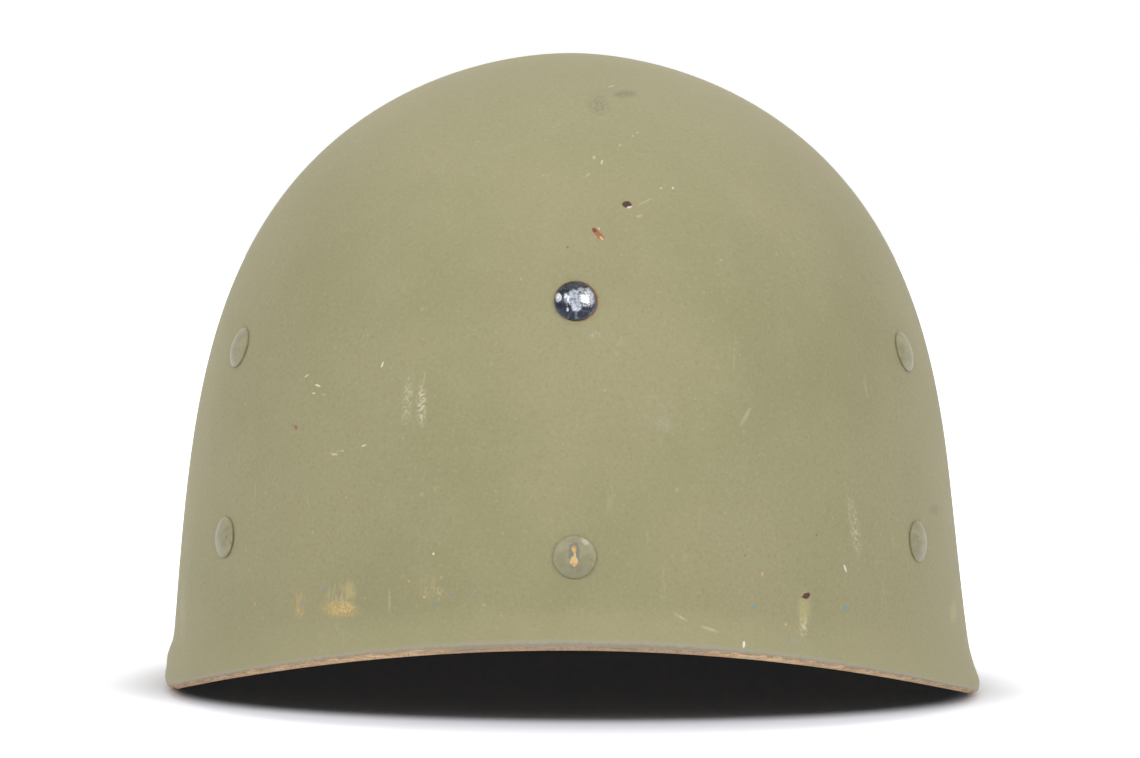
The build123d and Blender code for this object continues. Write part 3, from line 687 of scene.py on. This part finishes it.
def dark_green_stoving_paint(place):
    """Washers stamped from steel and dipped in dark green stoving paint, with bright nicks and a little rust."""
    tone = speckle(place, 5, detail=3)
    colour = tint(spread(tone, 0.35, 0.7), "3D4230", "4E533D")
    bare = spread(speckle(place, 2.2, detail=5, roughness=0.7), 0.68, 0.72)
    colour = tint(bare, colour, "7A7566")
    colour = mottle(place, 3.2, 0.64, 0.72, colour, "6B412A", 0.8, 5, 0.7)
    shine = spread(tone, 0.3, 0.7, 0.42, 0.56)
    return {"Base Color": colour, "Metallic": bare * 0.7, "Roughness": shine, "Normal": dent(tone, 0.04)}


def black_japanned_steel(place):
    """Buckles and clips of sheet steel under black japan, worn to grey steel in specks."""
    tone = speckle(place, 4, detail=3)
    wear = speckle(place, 1.5, detail=5, roughness=0.7)
    bare = spread(wear, 0.62, 0.68)
    colour = tint(bare, tint(spread(tone, 0.35, 0.7), "1E1F1D", "30322E"), "8A8A86")
    shine = spread(wear, 0.3, 0.7, 0.34, 0.5)
    return {"Base Color": colour, "Metallic": bare * 0.8, "Roughness": shine, "Normal": dent(tone, 0.03)}


shell_paint = {band: make_material(olive_drab_paint, band) for band in paint_bands}
cut_edge = make_material(laminate_cut_edge)
inner_face = make_material(laminate_inner_face)
webbing = make_material(herringbone_cotton_webbing)
lace_cotton = make_material(braided_cotton_lace)
thread = make_material(waxed_sewing_thread)
leather = make_material(brown_sheepskin_leather)
rivet_paint = make_material(olive_painted_brass)
stud_steel = make_material(scuffed_steel_stud)
washer_paint = make_material(dark_green_stoving_paint)
buckle_black = make_material(black_japanned_steel)


# Shell

shell_columns, shell_rows = 240, 72
shell_girth, shell_climb = 820, 210
rolled_height = 4.5
rolled_in = 3.4
left_lean, left_lean_height = 2.9, 62
right_swell, right_swell_height, right_swell_half = 0.9, 9, 3.2
edge_round = 0.45


def side_shift(side, height):
    """How far the pressed sides leave the even dome, outward in mm: side is -1 at the right of the head and 1
    at its left. The lowest rim is rolled in, and the two flanks aren't quite alike."""
    flank = min(1, max(0, (abs(side) - 0.85) / 0.15))
    flank = flank * flank * (3 - 2 * flank)
    shift = -rolled_in * flank * max(0, 1 - height / rolled_height) ** 2
    if side > 0:
        return shift + left_lean * max(0, 1 - height / left_lean_height) ** 2 * side**4
    swell = math.exp(-(((height - right_swell_height) / right_swell_half) ** 2))
    return shift + right_swell * swell * side**4


def ellipse_angle(point):
    """The ellipse angle of a point of the shell, in radians: 0 at the brow."""
    return math.atan2(point.x / shell_width, -point.y / shell_length)


def make_shell():
    """The pressed shell: an outer face on the dome, a wall inside it and the rounded cut edge between them."""

    def place(u, v):
        return dome_point(math.sin(math.pi / 2 * v**1.5), 360 * u)

    piece = grid_piece(shell_columns, shell_rows, place, shell_girth, shell_climb)
    merge_doubles(piece)
    for material in (shell_paint["low"], cut_edge, inner_face, shell_paint["middle"], shell_paint["high"]):
        piece.data.materials.append(material)
    inward = {"offset": -1, "material_offset": 2, "material_offset_rim": 1}
    modify(piece, "SOLIDIFY", thickness=wall * MM, use_even_offset=True, **inward)
    for vertex in piece.data.vertices:
        point = vertex.co / MM
        side = math.sin(ellipse_angle(point))
        vertex.co.x += side_shift(side, point.z) * math.copysign(1, side) * MM
        vertex.co.z = max(0, vertex.co.z)
    # The two corners of the cut edge are rubbed round.
    mesh = bmesh.new()
    mesh.from_mesh(piece.data)
    corners = [
        edge
        for edge in mesh.edges
        if len(edge.link_faces) == 2 and len({face.material_index for face in edge.link_faces}) == 2
    ]
    bmesh.ops.bevel(
        mesh, geom=corners, offset=edge_round * MM, segments=3, profile=0.5, affect="EDGES", material=-1,
        clamp_overlap=True,
    )
    # Above the lowest band of paint, the outer face takes the materials of the other two.
    for face in mesh.faces:
        height = face.calc_center_median().z / MM
        if face.material_index == 0 and height > paint_bands["middle"][0]:
            face.material_index = 3 if height < paint_bands["high"][0] else 4
    mesh.to_mesh(piece.data)
    mesh.free()
    heights = piece.data.attributes.new("above_cut", "FLOAT", "POINT")
    for index, vertex in enumerate(piece.data.vertices):
        point = vertex.co / MM
        heights.data[index].value = point.z - cut_height(math.degrees(ellipse_angle(point)))
    only(piece)
    bpy.ops.object.shade_smooth_by_angle(angle=math.radians(60))
    piece.name = "liner_shell"
    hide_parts("shell")
    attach(piece, "liner")


make_shell()


# Webbing

cloth = (webbing, "cotton_webbing")
edge_share = 0.32
stitch_length, stitch_gap, stitch_radius = 2.6, 1.0, 0.28


def rounded_line(corners, radius, steps=6, closed=True):
    """A line through corners with each corner rounded, as evenly matched points for matched corners."""
    count = len(corners)
    points = []
    for index, corner in enumerate(corners):
        if not closed and index in (0, count - 1):
            points.append(corner.copy())
            continue
        before = (corners[index - 1] - corner).normalized()
        after = (corners[(index + 1) % count] - corner).normalized()
        opening = before.angle(after)
        reach = radius / math.tan(opening / 2) if opening > 0.01 else 0
        start, end = corner + before * reach, corner + after * reach
        for step in range(steps + 1):
            share = step / steps
            points.append(start.lerp(corner, share).lerp(corner.lerp(end, share), share))
    if closed:
        points.append(points[0].copy())
    return points


def line_lengths(points):
    """The distance along a line at each of its points."""
    lengths = [0.0]
    for first, second in zip(points, points[1:]):
        lengths.append(lengths[-1] + (second - first).length)
    return lengths


def find_along(lengths, share):
    """The points before and after a share of a line's length, and how far it is from one to the other."""
    target = share * lengths[-1]
    high = bisect_right(lengths, target, 1, len(lengths) - 1)
    gap = lengths[high] - lengths[high - 1]
    return high - 1, high, 0 if gap < 1e-9 else (target - lengths[high - 1]) / gap


def woven_strip(name, node, low_line, high_line, spacing, finish=cloth, thickness=web, rows=6):
    """A strip of webbing or leather between two matched edge lines, given its thickness and rounded edges.
    The lines run along its middle, and the strip replaces a node of the CAD if one is named."""
    lengths = line_lengths([low.lerp(high, 0.5) for low, high in zip(low_line, high_line)])
    columns = max(len(low_line) - 1, int(lengths[-1] / spacing))

    def place(u, v):
        low, high, part = find_along(lengths, u)
        bottom = low_line[low].lerp(low_line[high], part)
        top = high_line[low].lerp(high_line[high], part)
        return bottom.lerp(top, v)

    piece = grid_piece(columns, rows, place, lengths[-1], (high_line[0] - low_line[0]).length)
    if (low_line[0] - low_line[-1]).length < 0.01:
        merge_doubles(piece)
    modify(piece, "SOLIDIFY", thickness=thickness * MM, use_even_offset=True, offset=0)
    edges = {"limit_method": "ANGLE", "angle_limit": math.radians(60)}
    modify(piece, "BEVEL", width=thickness * edge_share * MM, segments=2, **edges)
    finish_piece(piece, name, finish, 50)
    if node:
        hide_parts(node)


def stitch_row(points, normals):
    """Stitches along a line, as places for one thread each: middle, direction, normal and length."""
    lengths = line_lengths(points)

    def point_along(share):
        low, high, part = find_along(lengths, share)
        return points[low].lerp(points[high], part)

    count = max(1, int(lengths[-1] / (stitch_length + stitch_gap)))
    half = stitch_length / 2 / lengths[-1]
    places = []
    for index in range(count):
        middle = (index + 0.5) / count
        start, end = point_along(max(0, middle - half)), point_along(min(1, middle + half))
        normal = normals[min(len(normals) - 1, int(middle * (len(normals) - 1) + 0.5))]
        places.append((start.lerp(end, 0.5), (end - start).normalized(), normal, (end - start).length))
    return places


def sew(name, places, sides=6):
    """One mesh of many stitches. Each is a short spindle of thread that dips into the cloth at both ends."""
    mesh = bmesh.new()
    profile = ((-0.5, 0.25), (-0.36, 0.85), (0.0, 1.0), (0.36, 0.85), (0.5, 0.25))
    for middle, along, normal, length in places:
        across = along.cross(normal).normalized()
        out = across.cross(along)
        rings = []
        for share, size in profile:
            lift = stitch_radius * (0.35 - 2.4 * share * share)
            centre = middle + along * (share * length) + out * lift
            ring = []
            for side in range(sides):
                turn = 2 * math.pi * side / sides
                point = centre + (across * math.cos(turn) + out * math.sin(turn)) * (stitch_radius * size)
                ring.append(mesh.verts.new(point * MM))
            rings.append(ring)
        for first, second in zip(rings, rings[1:]):
            for side in range(sides):
                after = (side + 1) % sides
                mesh.faces.new((first[side], first[after], second[after], second[side]))
        mesh.faces.new(list(reversed(rings[0])))
        mesh.faces.new(rings[-1])
    bmesh.ops.recalc_face_normals(mesh, faces=mesh.faces)
    data = bpy.data.meshes.new(name)
    mesh.to_mesh(data)
    mesh.free()
    finish_piece(place_object(name, data), name, (thread, "cotton_webbing"), 60)


suspension_angles = [0, side_rivet_angle, 180 - side_rivet_angle]
suspension_angles += [angle + 180 for angle in suspension_angles]
suspension_places = [wall_place(suspension_height, angle) for angle in suspension_angles]


def headband_line(height):
    halves = (-headband_flat / 2, headband_flat / 2)
    depth = headband_depth + web / 2
    corners = [at_height(place, height, half, depth) for place in suspension_places for half in halves]
    return rounded_line(corners, headband_bend)


def outward_normals(points):
    """Level outward directions of a line round the head."""
    normals = []
    for index, point in enumerate(points):
        ahead = points[min(index + 1, len(points) - 1)] - points[max(index - 1, 0)]
        normal = Vector((ahead.y, -ahead.x, 0)).normalized()
        normals.append(normal if normal.dot(Vector((point.x, point.y, 0))) > 0 else -normal)
    return normals


headband_lines = [headband_line(suspension_height + half) for half in (-headband_height / 2, headband_height / 2)]
woven_strip("headband", "headband_webbing", *headband_lines, 4.0)


# Crown straps

leg_foot, leg_start = 15.0, 13.0
leg_rise, loop_reach = 22.0, 45.0
seam_end, seam_start, seam_fade = 6.0, 14, 26
hem_seams = (5.5, 12.5)
cloth_gap = 0.05


def crown_place(angle):
    """A crown loop's place: its point, the directions across the strap and towards the crown's middle."""
    outward = Vector((math.sin(math.radians(angle)), -math.cos(math.radians(angle)), 0))
    return outward * crown_loop_distance + UP * crown_height, UP.cross(outward), -outward


def bezier(start, first, second, end, share):
    rest = 1 - share
    return start * rest**3 + first * (3 * rest * rest * share) + second * (3 * rest * share * share) + end * share**3


def leg_rows(place, angle, lift):
    """Middle points and across directions of one strap leg, from below its washer to its crown loop."""
    point, level, up, outward = place
    loop, across, inward = crown_place(angle)
    foot = point - outward * (strap_depth + web / 2)
    start = foot + up * leg_start
    end = loop + UP * lift
    first = start + up * leg_rise
    second = end - inward * loop_reach
    rows = [(foot - up * leg_foot, level), (foot, level)]
    steps = 30
    for index in range(steps + 1):
        share = index / steps
        middle = bezier(start, first, second, end, share)
        # The two legs close up where they are sewn together, just before the loop.
        left = (end - middle).length
        pinch = min(1.0, left / seam_end) if left < seam_start else max(0.0, 1 - (left - seam_start) / seam_fade)
        pinch = pinch * pinch * (3 - 2 * pinch)
        middle = middle - UP * ((lift - math.copysign(web / 2 + cloth_gap, lift)) * pinch)
        rows.append((middle, (level * (1 - share) + across * share).normalized()))
    return rows


strap_layer = lace_width / 2 + 0.3 + web / 2


def strap_lines(first, second, angle):
    """The two edge lines of a crown strap: up one leg, round the lace and down the other leg."""
    loop, across, inward = crown_place(angle)
    rows = leg_rows(suspension_places[first], angle, -strap_layer)
    for step in range(1, 12):
        turn = math.pi * step / 12
        middle = loop + inward * (math.sin(turn) * strap_layer) - UP * (math.cos(turn) * strap_layer)
        rows.append((middle, across))
    rows += list(reversed(leg_rows(suspension_places[second], angle, strap_layer)))
    lows, highs = [], []
    for index, (middle, side) in enumerate(rows):
        ahead = (rows[min(index + 1, len(rows) - 1)][0] - rows[max(index - 1, 0)][0]).normalized()
        side = (side - ahead * side.dot(ahead)).normalized()
        lows.append(middle - side * strap_width / 2)
        highs.append(middle + side * strap_width / 2)
    return lows, highs


crown_straps = {
    "front_left": (0, 1, side_rivet_angle / 2),
    "rear": (2, 3, 180 - side_rivet_angle / 2),
    "right": (4, 5, 270),
}
crown_stitches = []
for strap_name, (first, second, angle) in crown_straps.items():
    lines = strap_lines(first, second, angle)
    woven_strip("crown_strap_cloth_" + strap_name, "crown_strap_" + strap_name, *lines, 4.0, rows=5)
    loop, across, inward = crown_place(angle)
    for distance in hem_seams:
        for side in (-1, 1):
            middle = loop - inward * distance + UP * (side * (web + 0.12))
            row = [middle + across * (strap_width / 2 - 2) * end for end in (-1, 1)]
            crown_stitches += stitch_row(row, [UP * side] * 2)
sew("crown_strap_stitches", crown_stitches)


# Crown lace


def tube(name, points, radius, closed=False, finish=(lace_cotton, "cotton_lace"), sides=12):
    """A round cord along points, smoothed, with its braid's UV map in mm."""
    count = len(points)

    def pick(index):
        return points[index % count if closed else max(0, min(count - 1, index))]

    def smooth(share):
        spot_on = share * (count if closed else count - 1)
        index = int(math.floor(spot_on))
        part = spot_on - index
        if not closed and index >= count - 1:
            index, part = count - 2, 1.0
        before, start, end, after = (pick(index + step) for step in (-1, 0, 1, 2))
        return (
            start
            + (end - before) * (0.5 * part)
            + (before - start * 2.5 + end * 2 - after * 0.5) * (part * part)
            + ((after - before) * 0.5 + (start - end) * 1.5) * (part**3)
        )

    length = line_lengths([smooth(index / 400) for index in range(401)])[-1]
    columns = max(8, int(length / (radius * 0.7)))
    stations = [smooth(index / columns) for index in range(columns + 1)]
    tangents = []
    for index in range(columns + 1):
        ahead = stations[(index + 1) % columns] if closed else stations[min(index + 1, columns)]
        behind = stations[(index - 1) % columns] if closed else stations[max(index - 1, 0)]
        tangents.append((ahead - behind).normalized())
    side = UP if abs(tangents[0].z) < 0.9 else Vector((1, 0, 0))
    frames = []
    for tangent in tangents:
        side = (side - tangent * side.dot(tangent)).normalized()
        frames.append((side, tangent.cross(side)))

    def place(u, v):
        index = min(columns, int(round(u * columns)))
        up, out = frames[index]
        turn = -2 * math.pi * v
        return stations[index] + (up * math.cos(turn) + out * math.sin(turn)) * radius

    piece = grid_piece(columns, sides, place, length, 2 * math.pi * radius)
    merge_doubles(piece)
    if not closed:
        only(piece)
        bpy.ops.object.mode_set(mode="EDIT")
        bpy.ops.mesh.select_all(action="SELECT")
        bpy.ops.mesh.region_to_loop()
        bpy.ops.mesh.fill_holes(sides=0)
        bpy.ops.mesh.select_all(action="SELECT")
        bpy.ops.mesh.fill_holes(sides=0)
        bpy.ops.mesh.normals_make_consistent(inside=False)
        bpy.ops.object.mode_set(mode="OBJECT")
    return finish_piece(piece, name, finish, 60)


lace_radius = lace_width / 2
lace_bend = 8.0
lace_half = strap_width / 2 + lace_bend * math.tan(math.pi / 6) + 0.3
lace_corners = []
for first, second, angle in crown_straps.values():
    loop, across, inward = crown_place(angle)
    lace_corners += [loop - across * lace_half, loop + across * lace_half]
lace_ring = tube("lace_ring", rounded_line(lace_corners, lace_bend, 4)[:-1], lace_radius, closed=True)
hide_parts("crown_lace")
knot_start, knot_end = lace_corners[-1], lace_corners[0]
knot_centre = (knot_start + knot_end) / 2
knot_along = (knot_end - knot_start).normalized()
knot_out = Vector((knot_centre.x, knot_centre.y, 0)).normalized()
knot_length, knot_depth, knot_rise = 5.0, 2.5, 2.3
wrap = []
for index in range(31):
    turn = 2 * math.pi * index / 12
    wrap.append(
        knot_centre
        + knot_along * ((index / 30 - 0.5) * knot_length)
        + knot_out * (math.cos(turn) * knot_depth)
        + UP * (math.sin(turn) * knot_rise)
    )
tube("lace_knot", wrap, 1.2)
for side, side_name in ((-1, "right"), (1, "left")):
    turn = math.radians(38) * side
    out = knot_out * math.cos(turn) + knot_along * math.sin(turn)
    end = [
        knot_centre + knot_along * side * 1.2 + UP * 0.6,
        knot_centre + out * 4.0 + UP * 0.9,
        knot_centre + out * 8.0 + UP * 0.3,
        knot_centre + out * 12.0,
    ]
    tube("lace_end_" + side_name, end, lace_radius)
    tip = [knot_centre + out * (11.6 + step * 1.8) for step in range(4)]
    tube("lace_tip_" + side_name, tip, 1.6, finish=(buckle_black, "blackened_steel"), sides=16)


# Sweatband

sweatband_low, sweatband_high = 28.0, 65.0
low_axes, high_axes = (95.953, 113.893), (92.785, 110.366)
sweatband_thickness = 2.0
tongue_low, tongue_height, tongue_out = 37.0, 19.0, 1.78
hide = (leather, "leather")


def arc(half_width, half_length, centre, height, start, end, steps):
    """Points on a level ellipse, from one angle to another, 0 at the back."""
    angles = [math.radians(start + (end - start) * index / steps) for index in range(steps + 1)]
    return [Vector((half_width * math.sin(angle), centre + half_length * math.cos(angle), height)) for angle in angles]


def oval_line(height, inset, start=0.0, end=360.0, steps=160):
    """A line round the sweatband's oval at a height, or a part of one."""
    share = (height - sweatband_low) / (sweatband_high - sweatband_low)
    width, length = (low + (high - low) * share for low, high in zip(low_axes, high_axes))
    return arc(width - inset, length - inset, 0, height, start, end, steps)


band_lines = [oval_line(height, sweatband_thickness / 2) for height in (sweatband_low, sweatband_high)]
woven_strip("sweatband_leather", "sweatband", *band_lines, 4.0, hide, sweatband_thickness)
tongue_angle = math.degrees(math.asin(34.0 / low_axes[0]))
tongue_way = (-tongue_out, -tongue_angle, tongue_angle, 30)
tongue_lines = [oval_line(height, *tongue_way) for height in (tongue_low, tongue_low + tongue_height)]
woven_strip("sweatband_tongue", None, *tongue_lines, 3.0, hide, 1.0)
band_stitches = []
for height in (sweatband_low + 2.2, sweatband_high - 2.2):
    line = oval_line(height, sweatband_thickness + 0.02, steps=240)
    band_stitches += stitch_row(line, [-normal for normal in outward_normals(line)])
sew("sweatband_stitches", band_stitches)


# Nape strap and its tabs

nape_height = 17.0
nape_centre, nape_radius = -19.368, 129.141
nape_half_angle = 27.662
nape_strap_height = 18.0
nape_tab_height = 16.0
nape_tab_depth = 4.4
nape_seat = 0.4
nape_rivet_angle = 50.0
tab_flat, tab_bend = 22.5, 4.2
tab_buckle_end, tab_tail_end = 7.0, -15.0
buckle_x, buckle_y, buckle_turn, buckle_inset = 53.911, 96.244, 25, 0.55


def nape_line(height):
    return arc(nape_radius, nape_radius, nape_centre, height, -nape_half_angle, nape_half_angle, 40)


nape_low = nape_height - nape_strap_height / 2
nape_high = nape_height + nape_strap_height / 2
woven_strip("nape_strap_cloth", "nape_strap", nape_line(nape_low), nape_line(nape_high), 3.0)
nape_stitches = []
for height in (nape_low + 1.8, nape_high - 1.8):
    for depth in (-1, 1):
        line = nape_line(height)
        normals = [normal * depth for normal in outward_normals(line)]
        line = [point + normal * (web / 2 + cloth_gap) for point, normal in zip(line, normals)]
        nape_stitches += stitch_row(line, normals)
sew("nape_strap_stitches", nape_stitches)


def side_tab_line(side, height):
    """A side tab's middle line at a height: flat behind its washer, then through its buckle to its tail."""
    point, *ways = wall_place(nape_height, 180 - nape_rivet_angle * side)
    place = (point + ways[-1] * nape_seat, *ways)
    reach = tab_flat / 2 * side
    points = [at_height(place, nape_height + height, half, nape_tab_depth + web / 2) for half in (-reach, reach)]
    origin = Vector((buckle_x * side, buckle_y, nape_height))
    turn = math.radians(buckle_turn)
    to_washer = Vector((math.cos(turn) * side, -math.sin(turn), 0))
    to_head = Vector((-math.sin(turn) * side, -math.cos(turn), 0))
    for along in (tab_buckle_end, tab_tail_end):
        points.append(origin + to_washer * along + to_head * (buckle_inset + web / 2) + UP * height)
    return rounded_line(points, tab_bend, closed=False)


for side, side_name in ((1, "left"), (-1, "right")):
    lines = [side_tab_line(side, half) for half in (-nape_tab_height / 2, nape_tab_height / 2)]
    woven_strip("nape_tab_cloth_" + side_name, "nape_tab_" + side_name, *lines, 2.5, rows=4)


def centre_tab_line(offset):
    """The centre tab's middle line: down behind its washer, forward under its buckle and up to its tail."""
    corners = ((124.554, 21.5), (125.748, 7.0), (106.945, 7.0), (106.945, 24.4))
    return rounded_line([Vector((offset, y, z)) for y, z in corners], 2.0, closed=False)


lines = [centre_tab_line(half) for half in (nape_tab_height / 2, -nape_tab_height / 2)]
woven_strip("nape_tab_cloth_centre", "nape_tab_centre", *lines, 2.0, rows=4)


# Finishes of the pieces that keep their CAD shape

for name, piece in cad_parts.items():
    if name == "front_stud":
        material = stud_steel
    elif name in ("suspension_rivets", "nape_rivets") or name.startswith("chin_strap_stud"):
        material = rivet_paint
    elif "washer" in name:
        material = washer_paint
    elif "buckle" in name or name == "sweatband_clips":
        material = buckle_black
    else:
        continue
    piece.data.materials.clear()
    piece.data.materials.append(material)


# Floor, background and lights


def seen_directly(tree):
    """1 for what is seen directly, in a reflection or through glass, and 0 for what only sends light."""
    mirror, glass, camera = (
        add(tree, "LightPath", None, f"Is {kind} Ray") for kind in ("Glossy", "Transmission", "Camera")
    )
    return calculate("MAXIMUM", camera, calculate("MAXIMUM", mirror, glass))


def squared(value, size):
    return calculate("POWER", calculate("DIVIDE", value, size * MM), 2)


def white_table_top(place):
    """A pale sheet. Its far parts are seen as white; nearer the part its glow fades, and in an oval under the part it
    is nearly dark, a painted shadow over the lamps' own.
    """
    x, y, _ = axes_of(place)
    across = squared(x, shadow_width / 2)
    ahead = squared(calculate("MINIMUM", y, 0), shadow_front)
    behind = squared(calculate("MAXIMUM", y, 0), shadow_back)
    distance = calculate("SQRT", across + (ahead + behind))
    # The glow fades towards the shell and almost stops in the oval under it: painted shadow.
    glow_round_painted_shadow = spread(distance, 0.92, 1.14) * spread(distance, 1.05, 2.4, 0.45, 1.0) + 0.012
    return {
        "Base Color": "F2F2F4",
        "Roughness": 0.9,
        "Specular IOR Level": 0.0,
        "Emission Strength": glow_round_painted_shadow * seen_directly(place.tree),
        "Emission Color": "F6F6FF",
    }


def make_floor():
    bpy.ops.object.select_all(action="DESELECT")
    bpy.ops.mesh.primitive_plane_add(size=8)
    floor = bpy.context.object
    floor.name = "pale_floor"
    floor.data.materials.append(make_material(white_table_top))


def make_world():
    world = bpy.data.worlds.new("white_room")
    bpy.context.scene.world = world
    world.use_nodes = True
    tree = world.node_tree
    way = axes_of(add(tree, "TexCoord", None, "Generated"))[2]
    strength = calculate("MAXIMUM", seen_directly(tree), spread(way, 0.10, 0.55, 0.20, 0.42))
    wire(tree.nodes["Background"], {"Color": (1, 1, 1, 1), "Strength": strength})


def softbox(name, place, target, size, power):
    lamp = bpy.data.lights.new(name, "AREA")
    lamp.shape = "RECTANGLE"
    lamp.size, lamp.size_y = size
    lamp.energy = power
    holder = place_object(name, lamp)
    holder.location = place
    holder.rotation_euler = (Vector(target) - Vector(place)).to_track_quat("-Z", "Y").to_euler()
    return holder


make_floor()
make_world()
softbox("left_softbox", (-1.1, -1.0, 0.95), (0, 0, 0.10), (0.8, 0.8), 7.0)
softbox("right_softbox", (1.1, -1.0, 0.95), (0, 0, 0.10), (0.8, 0.8), 7.0)
softbox("top_softbox", (0, 0.1, 1.6), (0, 0, 0.1), (1.4, 1.4), 5.3)
front = softbox("front_softbox", (0, -2.1, 1.0), (0, 0, 0.05), (1.0, 0.5), 8.0)
front.visible_glossy = False


# Camera

camera = place_object("camera", bpy.data.cameras.new("camera"))
turn = math.radians(camera_turn)
lift = math.radians(camera_elevation)
back = Vector((math.sin(turn) * math.cos(lift), -math.cos(turn) * math.cos(lift), math.sin(lift)))
camera.location = Vector((0, 0, aim_height)) * MM + back * camera_distance * MM
roll = Matrix.Rotation(math.radians(camera_roll), 4, "Z")
camera.rotation_euler = ((-back).to_track_quat("-Z", "Y").to_matrix().to_4x4() @ roll).to_euler()
camera.data.sensor_width = sensor_width
camera.data.lens = pixels_per_mm * camera_distance / photo_width * sensor_width
camera.data.shift_x = (photo_middle[0] - aim_pixel[0]) / photo_width
camera.data.shift_y = (aim_pixel[1] - photo_middle[1]) / photo_width
camera.data.clip_start = 0.1
camera.data.clip_end = 50
bpy.context.scene.camera = camera
bpy.context.scene.view_settings.view_transform = "Standard"
